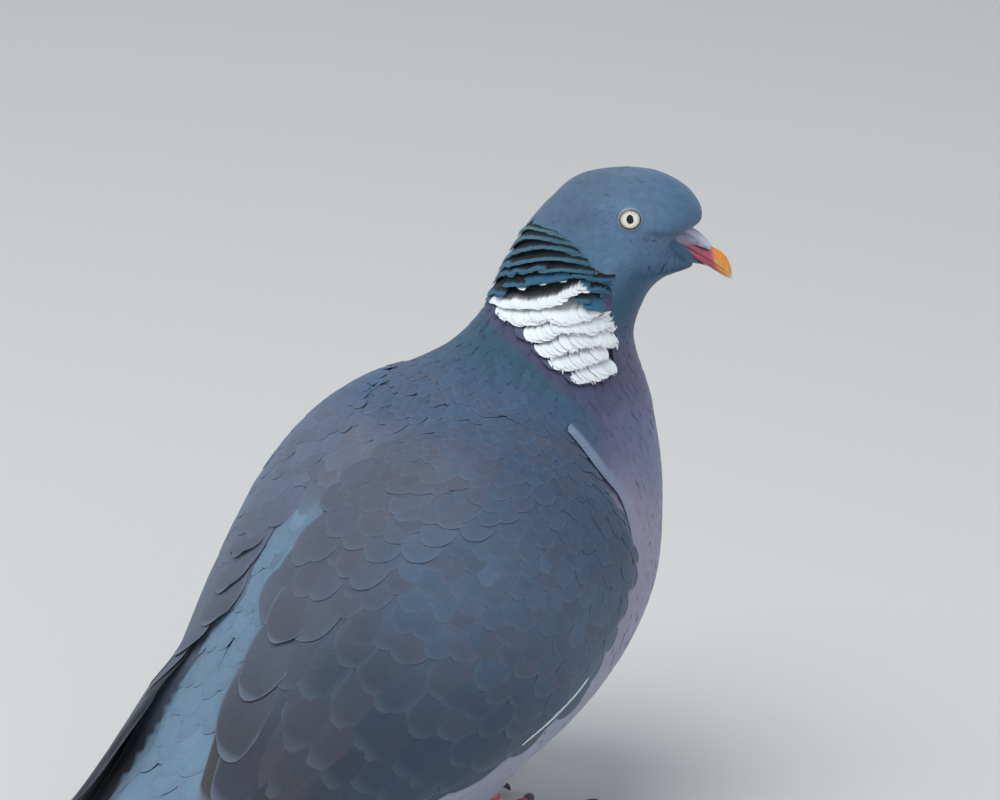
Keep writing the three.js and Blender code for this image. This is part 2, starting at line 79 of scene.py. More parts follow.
# Each section: y and z of its centre, tilt of its plane, reach to the front and to the back, half width,
# power of the front and of the back outline, and its share of the head's turn.
BODY = np.array([
    [-5, HEAD_Z + 17.3, 0, 0.6, 0.6, 0.6, 2.0, 2.0, 1],
    [-2, HEAD_Z + 15.2, 0, 13.5, 10.5, 9.0, 2.0, 2.0, 1],
    [-1, HEAD_Z + 9.5, 0, 23.2, 17.5, 14.0, 2.0, 2.0, 1],
    [0, HEAD_Z + 1.2, 0, 27.2, 24.5, 15.6, 2.0, 2.0, 1],
    [1, HEAD_Z - 5.4, 0, 21.5, 27.5, 15.4, 1.55, 2.0, 1],
    [4, HEAD_Z - 12.2, 2, 28.3, 28.0, 15.6, 1.35, 2.1, 1],
    [6, HEAD_Z - 14.9, 3, 22.0, 27.0, 16.0, 1.7, 2.1, 0.97],
    [9, HEAD_Z - 19.5, 6, 19.5, 26.0, 17.5, 1.8, 2.1, 0.9],
    [14, HEAD_Z - 30.0, 12, 20.5, 26.0, 22.0, 2.0, 2.1, 0.7],
    [20, HEAD_Z - 44.0, 20, 33.0, 31.0, 30.5, 2.0, 2.1, 0.4],
    [30, HEAD_Z - 60.0, 29, 47.0, 42.5, 44.0, 2.0, 2.2, 0.12],
    [46, HEAD_Z - 77.5, 37, 59.0, 50.0, 55.0, 2.1, 2.2, 0],
    [68, HEAD_Z - 98.0, 44, 60.0, 50.0, 58.0, 2.2, 2.2, 0],
    [94, HEAD_Z - 119.5, 51, 49.0, 43.0, 55.0, 2.2, 2.1, 0],
    [122, HEAD_Z - 138.5, 59, 31.0, 31.0, 45.0, 2.1, 2.1, 0],
    [150, HEAD_Z - 151.5, 68, 18.0, 20.0, 34.0, 2.1, 2.1, 0],
], float)
TAIL = np.array([
    [177, 18.0, 76, 10.0, 12.0, 27.0, 2.2, 2.2, 0],
    [208, 12.4, 82, 8.0, 7.2, 26.5, 2.4, 2.4, 0],
    [240, 7.6, 86, 5.0, 3.8, 28.5, 2.8, 2.6, 0],
    [272, 4.4, 88, 4.5, 2.3, 31.0, 3.0, 2.6, 0],
    [296, 2.9, 90, 3.0, 1.0, 32.0, 3.0, 2.6, 0],
    [303, 2.3, 90, 2.3, 0.8, 26.0, 3.0, 2.6, 0],
], float)
WING_BED_END = np.array([
    [178, 19.5, 73, 8.0, 12.0, 27.0, 2, 2, 0],
    [215, 16.5, 80, 6.0, 8.0, 22.0, 2, 2, 0],
    [262, 10.8, 84, 4.0, 5.0, 15.0, 2, 2, 0],
], float)
WHOLE = np.vstack([BODY, TAIL])
BED = np.vstack([BODY, WING_BED_END])
TAIL_ROOT = 16.0

# The folded wings: station numbers against angles round the body from the spine.
WING_START, WING_END, PRIMARIES_START = 9.5, 18.0, 14.3
WING_PROUD, WING_EDGE = 2.2, 0.6
WING_LOWER_EDGE = [[9.5, 66], [10, 80], [10.4, 91], [10.8, 103], [11.4, 109], [12.1, 113], [12.8, 111],
                   [13.5, 106], [14.2, 101], [15, 97], [16, 95], [17, 92], [18, 80]]
WING_INNER_EDGE = {
    "right": [[9.5, 46], [10, 29], [10.6, 16], [11.4, 5], [12.1, -1], [13, -4], [13.8, -3], [14.4, 3],
              [15, 19], [16, 38], [17, 52], [18, 66]],
    "left": [[9.5, 46], [10, 29], [10.6, 17], [11.4, 10], [12.1, 9], [13, 15], [13.6, 22], [14.2, 36],
             [15, 48], [16, 54], [17, 60], [18, 68]],
}
WING_LIFT = {
    "right": [[9.5, 0], [18, 0]],
    "left": [[9.5, 0], [13.6, 0], [14.3, 4.5], [15, 6.5], [16, 5], [18, 1.5]],
}
SIDES = {"right": -1.0, "left": 1.0}

# Where the left eye lies, from the centre of the head before it turns.
EYE_SIDE, EYE_Y, EYE_Z = 11.1, -3.6, 4.2


def smooth(x):
    """0 below 0, 1 above 1, and an even ease between."""
    x = np.clip(x, 0.0, 1.0)
    return x * x * (3 - 2 * x)


def ramp(x, low, high):
    """smooth() of x between two values, which may fall as well as rise."""
    return smooth((np.asarray(x, float) - low) / (high - low))


def lerp(a, b, t):
    return a + (b - a) * t


def signed(angle):
    """An angle in degrees, brought to between -180 and 180."""
    return (np.asarray(angle, float) + 180.0) % 360.0 - 180.0


def track(keys, at):
    """A smooth line through [position, value] keys."""
    keys = np.array(keys, float)
    x, v = keys[:, 0], keys[:, 1]
    at = np.clip(np.asarray(at, float), x[0], x[-1])
    i = np.clip(np.searchsorted(x, at, side="right") - 1, 0, len(x) - 2)
    slope = np.gradient(v, x)
    slope[1:-1] = (v[2:] - v[:-2]) / (x[2:] - x[:-2])
    h = x[i + 1] - x[i]
    f = (at - x[i]) / h
    return hermite(v[i], slope[i] * h, v[i + 1], slope[i + 1] * h, f)


def hermite(a, ta, b, tb, f):
    """Between the values a and b, whose tangents are ta and tb, at the share f."""
    f2, f3 = f * f, f * f * f
    return (2 * f3 - 3 * f2 + 1) * a + (f3 - 2 * f2 + f) * ta + (-2 * f3 + 3 * f2) * b + (f3 - f2) * tb


def gaps(path):
    """The distances between the points of a path."""
    return np.linalg.norm(np.diff(path, axis=0), axis=1)


def runs(path):
    """How far along a path each of its points lies."""
    return np.r_[0, np.cumsum(gaps(path))]


def sections_at(sections, number):
    """The section at any station number, on a smooth line whose tangents keep the stations' spacing."""
    run = runs(sections[:, :2])
    last = len(sections) - 1
    number = np.clip(np.asarray(number, float), 0, last)
    i = np.minimum(number.astype(int), last - 1)
    f = (number - i)[..., None]
    before, after = (np.clip(np.arange(last + 1) + step, 0, last) for step in (-1, 1))
    slope = (sections[after] - sections[before]) / (run[after] - run[before])[:, None]
    h = (run[i + 1] - run[i])[..., None]
    return hermite(sections[i], slope[i] * h, sections[i + 1], slope[i + 1] * h, f)


def turn_with_head(points, share):
    """Rolls and turns points with the head, by each one's share of the movement."""
    roll, turn = HEAD_ROLL * share, HEAD_TURN * share
    x, y, z = points[..., 0], points[..., 1] - TURN_AXIS_Y, points[..., 2] - HEAD_Z
    x, z = x * np.cos(roll) + z * np.sin(roll), -x * np.sin(roll) + z * np.cos(roll)
    x, y = x * np.cos(turn) + y * np.sin(turn), -x * np.sin(turn) + y * np.cos(turn)
    return np.stack([x, y + TURN_AXIS_Y, z + HEAD_Z], -1)


tail_low, tail_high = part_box("tail")
SHIFT = np.array([
    (tail_low.x + tail_high.x) / 2 / MM,
    tail_high.y / MM - TAIL_END_Y,
    cad_low.z / MM,
])


def form_point(sections, number, angle):
    """A point on the outline of a section, at an angle in degrees from the spine, + to the left."""
    number, angle = np.broadcast_arrays(np.asarray(number, float), np.radians(angle))
    s = sections_at(sections, number)
    y0, z0, tilt, front, back, half, front_power, back_power, share = np.moveaxis(s, -1, 0)
    sine, cosine = np.sin(angle), np.cos(angle)
    power = np.where(cosine < 0, front_power, back_power)
    reach = np.where(cosine < 0, front, back) * np.sign(cosine) * np.abs(cosine) ** (2 / power)
    x = half * np.sign(sine) * np.abs(sine) ** (2 / power)
    tilt = np.radians(tilt)
    flat = np.stack([x, y0 + reach * np.cos(tilt), z0 + reach * np.sin(tilt)], -1)
    return turn_with_head(flat, share) + SHIFT


def unit(v):
    return v / np.maximum(np.linalg.norm(v, axis=-1, keepdims=True), 1e-9)


def surface_normals(points, ring=False):
    """Normals of a grid of points, whose last column meets its first where it is a ring."""
    down, across = np.gradient(points, axis=0), np.gradient(points, axis=1)
    if ring:
        across[:, 0] = across[:, -1] = points[:, 1] - points[:, -2]
    return unit(np.cross(across, down))


class Chart:
    def __init__(self, point, first, last, rows, columns, roots, low=-180.0, high=180.0, hand=1.0):
        """roots gives a place on the bake map. hand is -1 where the grid mirrors its surface."""
        self.first, self.last, self.low, self.high = first, last, low, high
        self.rows, self.columns, self.roots, self.hand = rows, columns, roots, hand
        self.points = point(np.linspace(first, last, rows)[:, None], np.linspace(low, high, columns)[None, :])
        down = np.gradient(self.points, axis=0) * (rows - 1) / (last - first)
        across = np.gradient(self.points, axis=1) * (columns - 1) / (high - low)
        if high - low > 359:
            ring = (self.points[:, 1] - self.points[:, -2]) * (columns - 1) / (high - low) / 2
            across[:, 0] = across[:, -1] = ring
        self.down, self.across = down, across
        self.normals = unit(np.cross(across, down)) * hand

    def cell(self, number, angle):
        r = (np.clip(number, self.first, self.last) - self.first) / (self.last - self.first) * (self.rows - 1)
        if self.high - self.low > 359:
            angle = signed(angle)
        c = (np.clip(angle, self.low, self.high) - self.low) / (self.high - self.low) * (self.columns - 1)
        i = np.minimum(r.astype(int), self.rows - 2)
        j = np.minimum(c.astype(int), self.columns - 2)
        return i, j, (r - i)[..., None], (c - j)[..., None]

    def read(self, grid, number, angle):
        i, j, f, g = self.cell(*np.broadcast_arrays(np.asarray(number, float), np.asarray(angle, float)))
        top = grid[i, j] * (1 - g) + grid[i, j + 1] * g
        return top * (1 - f) + (grid[i + 1, j] * (1 - g) + grid[i + 1, j + 1] * g) * f

    def place(self, number, angle):
        """Points and outward normals."""
        return self.read(self.points, number, angle), unit(self.read(self.normals, number, angle))

    def scales(self, number, angle):
        """The length of one section number, and of one step across, at a place."""
        return (np.linalg.norm(self.read(grid, number, angle), axis=-1) for grid in (self.down, self.across))


# ---- Camera, floor and light ----

CAMERA_AZIMUTH, CAMERA_ELEVATION = np.radians(229), np.radians(20)
CAMERA_DISTANCE, CAMERA_LENS = 1800.0, 220.3
CAMERA_ASIDE, CAMERA_BELOW = 32.35, 51.47      # how far the view's middle is left of and below the head
FLOOR_REACH = 6.0                              # metres
head_centre = turn_with_head(np.array([0.0, 0.0, HEAD_Z]), 1.0) + SHIFT


def add_object(name, data):
    """An object in the scene that holds this data."""
    thing = bpy.data.objects.new(name, data)
    bpy.context.scene.collection.objects.link(thing)
    return thing


def make_camera():
    a, e = CAMERA_AZIMUTH, CAMERA_ELEVATION
    back = np.array([np.sin(a) * np.cos(e), -np.cos(a) * np.cos(e), np.sin(e)])
    right = np.array([np.cos(a), np.sin(a), 0.0])
    up = np.cross(back, right)
    place = head_centre + back * CAMERA_DISTANCE - right * CAMERA_ASIDE - up * CAMERA_BELOW
    data = bpy.data.cameras.new("camera")
    data.lens = CAMERA_LENS
    data.sensor_width = 36.0
    data.clip_start, data.clip_end = 0.05, 20.0
    camera = add_object("camera", data)
    turn = Matrix((right, up, back)).transposed().to_4x4()
    camera.matrix_world = Matrix.Translation(Vector(place * MM)) @ turn
    bpy.context.scene.camera = camera


def area_light(name, place, size, power, colour):
    """A round soft light that shines at the bird's middle."""
    data = bpy.data.lights.new(name, "AREA")
    data.shape = "DISK"
    data.size, data.energy, data.color = size, power, colour
    light = add_object(name, data)
    light.location = place
    light.rotation_euler = (Vector((0.0, 0.0, 0.1)) - Vector(place)).to_track_quat("-Z", "Y").to_euler()


def make_studio():
    """Three soft lights, a pale sky and a floor."""
    area_light("key", (-0.1, 0.45, 1.8), size=1.4, power=23.0, colour=(1.0, 0.995, 0.985))
    area_light("left", (1.2, 1.1, 0.9), size=1.3, power=7.0, colour=(0.86, 0.95, 1.0))
    area_light("fill", (-1.5, 0.3, 0.7), size=1.6, power=5.0, colour=(0.93, 0.96, 1.0))
    scene = bpy.context.scene
    scene.world = bpy.data.worlds.new("studio")
    scene.world.use_nodes = True
    sky = scene.world.node_tree.nodes["Background"]
    sky.inputs["Color"].default_value = (0.86, 0.91, 1.0, 1)
    sky.inputs["Strength"].default_value = 0.40
    scene.view_settings.view_transform = "Standard"
    data = bpy.data.meshes.new("floor")
    corners = [(x * FLOOR_REACH, y * FLOOR_REACH, 0) for x, y in ((-1, -1), (1, -1), (1, 1), (-1, 1))]
    data.from_pydata(corners, [], [(0, 1, 2, 3)])
    data.materials.append(Shader("floor_paper", Base_Color=(*linear(214, 214, 212), 1), Roughness=0.85,
                                 Specular_IOR_Level=0.2).material)
    floor = add_object("floor", data)
    floor.location.z = cad_low.z


# ---- Materials ----

def linear(*srgb):
    """An sRGB colour, 0 to 255, as the linear values that shaders use."""
    c = np.array(srgb, float) / 255
    return np.where(c <= 0.04045, c / 12.92, ((c + 0.055) / 1.055) ** 2.4)


class Shader:
    """A material under construction, with short calls for its nodes."""

    def __init__(self, name, **values):
        self.material = bpy.data.materials.new(name)
        self.material.use_nodes = True
        self.tree = self.material.node_tree
        self.surface = self.tree.nodes["Principled BSDF"]
        for key, value in values.items():
            self.surface.inputs[key.replace("_", " ")].default_value = value

    def node(self, kind, settings=None, **inputs):
        """A node. An input is called by its name, or by i and its number."""
        node = self.tree.nodes.new("ShaderNode" + kind)
        for key, value in (settings or {}).items():
            setattr(node, key, value)
        for key, value in inputs.items():
            numbered = key[0] == "i" and key[1:].isdigit()
            self.feed(node.inputs[int(key[1:]) if numbered else key.replace("_", " ")], value)
        return node

    def feed(self, socket, value):
        if isinstance(value, bpy.types.NodeSocket):
            self.tree.links.new(value, socket)
        elif isinstance(value, bpy.types.Node):
            self.tree.links.new(value.outputs[0], socket)
        else:
            socket.default_value = value

    def math(self, operation, a, b=0.0):
        return self.node("Math", {"operation": operation}, i0=a, i1=b, i2=0.0)

    def noise(self, scale, vector, detail, roughness=0.55):
        node = self.node("TexNoise", Scale=scale, Detail=detail, Roughness=roughness)
        self.feed(node.inputs["Vector"], vector)
        return node.outputs["Fac"]

    def place(self):
        return self.node("TexCoord").outputs["Object"]

    def range(self, value, from_low, from_high, to_low, to_high):
        return self.node("MapRange", i0=value, i1=from_low, i2=from_high, i3=to_low, i4=to_high)

    def shade_coat(self, light):
        """Takes the mesh's own colours, made lighter and darker."""
        shade = self.node("CombineXYZ", X=light, Y=light, Z=light)
        coat = self.node("Attribute", {"attribute_name": "coat"}).outputs["Color"]
        mix = self.node("Mix", {"data_type": "RGBA", "blend_type": "MULTIPLY"}, Factor=1.0, i6=coat, i7=shade)
        self.feed(self.surface.inputs["Base Color"], mix.outputs[2])

    def bump(self, height, strength, distance):
        self.feed(self.surface.inputs["Normal"],
                  self.node("Bump", Height=height, Strength=strength, Distance=distance))


def plumage_material(name, barbs=1.0, roughness=0.62, sheen=0.25):
    """Feather: its markings come with the mesh; barbs run slantwise off the shaft as fine ridges."""
    s = Shader(name, Roughness=roughness, Specular_IOR_Level=0.28, Sheen_Weight=sheen, Sheen_Roughness=0.45,
               Sheen_Tint=(0.8, 0.88, 1.0, 1))
    vane = s.node("UVMap", {"uv_map": "vane"})
    across, along = s.node("SeparateXYZ", Vector=vane).outputs[:2]
    slant = s.math("SUBTRACT", along, s.math("MULTIPLY", s.math("ABSOLUTE", across), 0.8))
    lines = s.node("CombineXYZ", X=s.math("MULTIPLY", across, 0.35), Y=slant)
    barb = s.noise(9.0, lines, 2.0, 0.6)
    fine = s.noise(26.0, lines, 1.0, 0.5)
    cloud = s.noise(95.0, s.place(), 3.0)
    both = s.math("ADD", barb, s.math("MULTIPLY", fine, 0.5))
    grain = s.range(both, 0.45, 1.05, 1 - 0.09 * barbs, 1 + 0.09 * barbs)
    s.shade_coat(s.math("MULTIPLY", grain, s.range(cloud, 0.3, 0.7, 0.95, 1.05)))
    s.bump(s.math("ADD", barb, fine), 0.22 * barbs, 0.0004)
    return s.material


def bare_material(name, roughness, specular, cloud, pores=None, glow=None):
    """Horn, bare skin or iris: its colour comes with the mesh, with fine mottling.

    cloud: scale, detail and the darkest and lightest mottling. pores: scale, detail, strength and depth.
    glow: how much light passes under the surface, and how far."""
    s = Shader(name, Roughness=roughness, Specular_IOR_Level=specular)
    if glow:
        weight, radius = glow
        for key, value in (("Weight", weight), ("Radius", radius), ("Scale", 0.3)):
            s.surface.inputs["Subsurface " + key].default_value = value
    scale, detail, dark, light = cloud
    s.shade_coat(s.range(s.noise(scale, s.place(), detail), 0.3, 0.7, dark, light))
    if pores:
        scale, detail, strength, depth = pores
        s.bump(s.noise(scale, s.place(), detail), strength, depth)
    return s.material


def horn_material(name, roughness):
    return bare_material(name, roughness, specular=0.4, cloud=(900.0, 4.0, 0.88, 1.1),
                         pores=(2200.0, 2.0, 0.18, 0.0002), glow=(0.12, (0.002, 0.001, 0.0007)))


# ---- Meshes ----

def make_piece(name, points, faces, material, normals=None, colours=None, maps=None):
    """A piece from points in millimetres. faces are quads, or triangles whose last index is -1."""
    mesh = bpy.data.meshes.new(name)
    faces = np.asarray(faces, np.int32)
    three = faces[:, 3] < 0
    sizes = np.where(three, 3, 4)
    corners = faces.ravel()[np.repeat(~three, 4) | (np.arange(faces.size) % 4 < 3)]
    mesh.vertices.add(len(points))
    mesh.vertices.foreach_set("co", (np.asarray(points) * MM).astype(np.float32).ravel())
    mesh.loops.add(len(corners))
    mesh.loops.foreach_set("vertex_index", corners)
    mesh.polygons.add(len(faces))
    mesh.polygons.foreach_set("loop_start", np.r_[0, np.cumsum(sizes)[:-1]].astype(np.int32))
    mesh.polygons.foreach_set("use_smooth", np.ones(len(faces), bool))
    mesh.update(calc_edges=True)
    for map_name, values in (maps or {}).items():
        layer = mesh.uv_layers.new(name=map_name)
        layer.data.foreach_set("uv", np.asarray(values, np.float32)[corners].ravel())
    if colours is not None:
        layer = mesh.color_attributes.new("coat", "FLOAT_COLOR", "POINT")
        rgba = np.c_[np.clip(colours, 0, 1), np.ones(len(points))].astype(np.float32)
        layer.data.foreach_set("color", rgba.ravel())
    if normals is not None:
        mesh.normals_split_custom_set_from_vertices(unit(np.asarray(normals, float)))
    mesh.materials.append(material)
    piece = add_object(name, mesh)
    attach(piece, "root")
    return piece


def grid_faces(rows, columns, start=0, wrap=False):
    """Quads over a grid of points, rows by columns; wrap joins the last column to the first."""
    r = np.arange(rows - 1)[:, None]
    c = np.arange(columns if wrap else columns - 1)[None, :]
    d = (c + 1) % columns
    quad = [r * columns + c, r * columns + d, (r + 1) * columns + d, (r + 1) * columns + c]
    return np.stack(np.broadcast_arrays(*quad), -1).reshape(-1, 4) + start


def fan_faces(centre, ring, flip=False):
    """Triangles from a centre point to a closed ring of points."""
    after = np.roll(ring, -1)
    a, b = (after, ring) if flip else (ring, after)
    return np.stack([np.full(len(ring), centre), a, b, np.full(len(ring), -1)], -1)


# ---- The surfaces that feathers lie on ----

THIGH_CENTRE, THIGH_RADII, THIGH_TILT = (23.0, 70.0, 30.0), (13.0, 22.0, 13.0), np.radians(-28)


def thigh_bulge(points, normals):
    """How far out the feathered thighs push the body's surface."""
    bulge = np.zeros(points.shape[:-1])
    for sign in SIDES.values():
        centre = np.array(THIGH_CENTRE) * (sign, 1, 1) + SHIFT
        c, s = np.cos(-THIGH_TILT), np.sin(-THIGH_TILT)
        spin = np.array([[1, 0, 0], [0, c, -s], [0, s, c]])
        p = ((points - centre) @ spin.T) / THIGH_RADII
        d = (normals @ spin.T) / THIGH_RADII
        a, b, k = (d * d).sum(-1), (p * d).sum(-1), (p * p).sum(-1) - 1
        inside = b * b - a * k
        away = np.where(inside > 0, (-b + np.sqrt(np.maximum(inside, 0))) / a, 0)
        facing = (normals[..., 2] < 0.35) & (points[..., 0] * sign > 0)
        bulge = np.maximum(bulge, np.where(facing, np.clip(away, 0, 14), 0))
    return bulge


def blur(grid, times):
    """Evens out a grid whose columns run round the body."""
    for _ in range(times):
        grid = (np.roll(grid, 1, 1) + 2 * grid + np.roll(grid, -1, 1)) / 4
        grid[1:-1] = (grid[:-2] + 2 * grid[1:-1] + grid[2:]) / 4
    return grid


def above_floor(points, gap):
    """Points kept at least this far above the floor."""
    points[..., 2] = np.maximum(points[..., 2], SHIFT[2] + gap)
    return points


def body_point(number, angle):
    """Places on the surface of head, body and tail, thighs included."""
    number, angle = np.broadcast_arrays(number, angle)
    points = form_point(WHOLE, number, angle)
    normals = surface_normals(points, ring=True)
    points = points + normals * blur(thigh_bulge(points, normals), 30)[..., None]
    return above_floor(points, 0.3)


def wing_angle(side, number, across):
    """The angle round the body of a place on a folded wing, 0 at its inner edge and 1 at its lower one."""
    return lerp(track(WING_INNER_EDGE[side], number), track(WING_LOWER_EDGE, number), across)


def wing_surface(side):
    def point(number, across):
        number, across = np.broadcast_arrays(number, across)
        base = form_point(BED, number, SIDES[side] * wing_angle(side, number, across))
        rear = np.clip((WING_END - number) / (WING_END - PRIMARIES_START), 0.25, 1)
        bulge = np.sqrt(np.clip(1 - np.abs(2 * across - 1) ** 3, 0, 1))
        proud = (WING_EDGE + (WING_PROUD - WING_EDGE) * bulge * rear) * ramp(number, 9.2, 10.4)
        proud = proud + track(WING_LIFT[side], number)
        return base + surface_normals(base) * SIDES[side] * proud[..., None]

    def roots(number, across):
        return np.clip(np.stack([(across + 0.2) / 1.4, (number - 9) / (WING_END - 9)], -1), 0.03, 0.97)

    return Chart(point, WING_START, WING_END, 300, 141, roots, -0.2, 1.2, SIDES[side])


SURFACE_START = 0.02                                   # the section number where the surface starts
body = Chart(body_point, SURFACE_START, TAIL_ROOT + 4.9, 640, 361,
             lambda number, angle: np.stack([(angle + 180) % 360 / 360, number / (TAIL_ROOT + 5)], -1))
wings = {side: wing_surface(side) for side in SIDES}


# ---- Vanes: closed, lens-shaped blades with rounded tips ----

Vane = namedtuple("Vane", "u v wide arc")


def vane_shape(rows, columns, root=0.6, tip=0.5, arc=0.75, shoulder=0.45, dense=1.25):
    """The outline of a vane. u runs from root to tip, v from edge to edge, wide is its half width along u."""
    u = 1 - (1 - np.linspace(0, 1, rows + 1)) ** dense
    v = np.linspace(-1, 1, columns + 1)
    v = lerp(v, np.sin(v * np.pi / 2), 0.75)
    narrowing = np.clip((u - shoulder) / (1 - shoulder), 0, 1) ** 2.2 * (1 - tip ** 2)
    wide = lerp(root, 1.0, smooth(u / shoulder)) * np.sqrt(1 - narrowing)
    return Vane(u[None, :, None], v[None, None, :], wide, arc)


def blade_grids(count, shape):
    """Empty grids for the blades' points and their outward directions."""
    return np.zeros((2, count, shape.u.size, shape.v.size, 3))


def vane_steps(shape, half):
    """For each station along the vane: its number, how far along it is, and the offsets of its points."""
    v = shape.v[0]
    for k, here in enumerate(shape.u.ravel()):
        yield k, here, (half * shape.wide[k])[:, None] * v, -(half * shape.arc)[:, None] * v ** 2 * here ** 2


def walk_chart(chart, number, angle, aim, length, half, shape):
    """Lays blades on a chart from their roots. aim is in radians from +number towards +angle."""
    base, out = blade_grids(len(number), shape)
    spot = np.zeros((*base.shape[:3], 2))
    forward, aside = np.cos(aim), np.sin(aim)
    before = 0.0
    for k, here, w, s in vane_steps(shape, half):
        step = (here - before) * length
        before = here
        down, across = chart.scales(number, angle)
        number, angle = number + step * forward / down, angle + step * aside / across
        n = number[:, None] + (s * forward[:, None] - w * aside[:, None]) / down[:, None]
        a = angle[:, None] + (s * aside[:, None] + w * forward[:, None]) / across[:, None]
        base[:, k], out[:, k] = chart.place(n, a)
        spot[:, k] = np.stack([n, a], -1)
    return base, out, spot


def raise_blades(base, out, shape, half, sink, lift, thick, soft, cup, roll=0.0, dip=0.0, bow=1.15):
    """Gives blades their height, thickness and normals. They rise from sink below the surface at the root to
    lift at the tip, and dip presses the tips down on to the next feathers. cup bends the edges down, roll
    tips one edge up, and soft is how far the normals follow the body."""
    u, v = shape.u, shape.v
    sink, lift, thick, cup, roll, half = (
        np.broadcast_to(np.asarray(x, float), (len(base),))[:, None, None]
        for x in (sink, lift, thick, cup, roll, half))
    height = -sink * (1 - u) ** bow + lift * u ** 1.5 - cup * half * v ** 2 + roll * v
    height = height - dip * np.clip((u - 0.55) / 0.45, 0, 1) ** 2
    plump = thick * (1 - v ** 2) * np.clip(1 - u ** 6, 0, 1) * np.clip(1 - (1 - u) ** 8, 0, 1)
    top = base + out * (height + plump / 2)[..., None]
    under = base + out * (height - plump / 2)[..., None]
    down, across = np.gradient(top, axis=1), np.gradient(top, axis=2)
    facet = unit(np.cross(across, down))
    facet *= np.sign((facet * out).sum(-1, keepdims=True) + 1e-9)
    return top, under, unit(lerp(facet, out, soft))


TUFT_PATCH = 0.003                              # how far a tuft spreads on the bake map


class Coat:
    """Blades gathered into one piece, with their markings and maps."""

    def __init__(self):
        self.parts, self.count = [], 0

    def add(self, top, under, normals, colours, roots, shape, patch=TUFT_PATCH, flip=False):
        """roots: each blade's place on the bake map, 0 to 1. patch: how far it spreads there."""
        count, rows, columns = top.shape[:3]
        edge, inner = rows * columns, (rows - 2) * (columns - 2)

        def closed(upper, lower):
            """The values of the upper face, then those inside the edge of the lower one."""
            kind = upper.shape[-1]
            both = [upper.reshape(count, edge, kind), lower[:, 1:-1, 1:-1].reshape(count, inner, kind)]
            return np.concatenate(both, 1).reshape(-1, kind)

        u, v = np.broadcast_arrays(shape.u, shape.v + np.zeros((count, 1, 1)))
        vane = np.stack([v, u * 3 + chance.uniform(0, 40, (count, 1, 1))], -1)
        bake = roots[:, None, None, :] + np.stack([v * 0.5, u - 0.5], -1) * patch
        upper = np.arange(edge).reshape(rows, columns)
        lower = upper.copy()
        lower[1:-1, 1:-1] = edge + np.arange(inner).reshape(rows - 2, -1)
        one = np.concatenate([self.triangles(upper, flip), self.triangles(lower, not flip)])
        starts = self.count + (edge + inner) * np.arange(count)
        faces = (one + starts[:, None, None]).reshape(-1, 4)
        faces[:, 3] = -1
        self.parts.append([closed(top, under), closed(normals, -normals), closed(colours, colours),
                           closed(bake, bake), closed(vane, vane), faces])
        self.count += (edge + inner) * count

    @staticmethod
    def triangles(index, flip):
        """Two triangles a cell, split so that none has all its corners on the blade's edge."""
        rows, columns = index.shape[0] - 1, index.shape[1] - 1
        faces = []
        for i in range(rows):
            for j in range(columns):
                a, b, c, d = index[i, j], index[i, j + 1], index[i + 1, j + 1], index[i + 1, j]
                falling = (i >= rows / 2) == (j >= columns / 2)
                faces += [(a, b, c), (a, c, d)] if falling else [(a, b, d), (b, c, d)]
        faces = np.array(faces)
        return np.c_[faces[:, ::-1] if flip else faces, np.full(len(faces), -1)]

    def make(self, name, material):
        points, normals, colours, bake, vane, faces = (np.concatenate(x) for x in zip(*self.parts))
        print(f"{name}: {len(faces)} triangles")
        maps = {"OFBake": np.clip(bake, 0, 1), "vane": vane}
        return make_piece(name, points, faces, material, normals, colours, maps)


def lay(coat, chart, number, angle, aim, length, half, shape, colour, form, patch=TUFT_PATCH, floor=None,
        **looks):
    """Lays blades on a chart. colour gives their markings by place, form is what raise_blades needs."""
    base, out, spot = walk_chart(chart, number, angle, aim, length, half, shape)
    roll = form.get("roll", 0.0) + (chance.normal(0, form["waver"], len(number)) if "waver" in form else 0.0)
    form = {**form, "roll": roll}
    form.pop("waver", None)
    top, under, normals = raise_blades(base, out, shape, half, **form)
    if floor is not None:
        top, under = above_floor(top, floor + 0.03), above_floor(under, floor)
    tone = feathery(colour(spot[..., 0], spot[..., 1]), shape, **looks)
    coat.add(top, under, normals, tone, chart.roots(number, angle), shape, patch, chart.hand < 0)


def scatter(points, reach):
    """Keeps points no nearer to each other than each one's reach, in the order given."""
    cells, kept = {}, []
    keys = np.floor(points / float(np.max(reach))).astype(int)
    around = [(i, j, k) for i in (-1, 0, 1) for j in (-1, 0, 1) for k in (-1, 0, 1)]
    for index, (key, place, near) in enumerate(zip(keys.tolist(), points.tolist(), reach.tolist())):
        limit = near * near
        for i, j, k in around:
            found = cells.get((key[0] + i, key[1] + j, key[2] + k), ())
            if any(sum((p - q) ** 2 for p, q in zip(place, other)) < limit for other in found):
                break
        else:
            cells.setdefault(tuple(key), []).append(place)
            kept.append(index)
    return np.array(kept)


def sow(chart, first, last, tries, reach, keep):
    """Roots spread evenly over part of a chart. reach gives the spacing, keep says which places count."""
    number = chance.uniform(first, last, tries)
    angle = chance.uniform(chart.low, chart.high, tries)
    down, across = chart.read(chart.down, number, angle), chart.read(chart.across, number, angle)
    area = np.linalg.norm(np.cross(down, across), axis=-1)
    points, _ = chart.place(number, angle)
    space = np.broadcast_to(reach(number, angle), number.shape)
    chosen = (chance.uniform(0, 1, tries) < area / area.max()) & keep(number, angle, points)
    number, angle, points, space = number[chosen], angle[chosen], points[chosen], space[chosen]
    kept = scatter(points, space)
    order = kept[np.argsort(number[kept])]
    return number[order], angle[order]


# ---- Markings ----

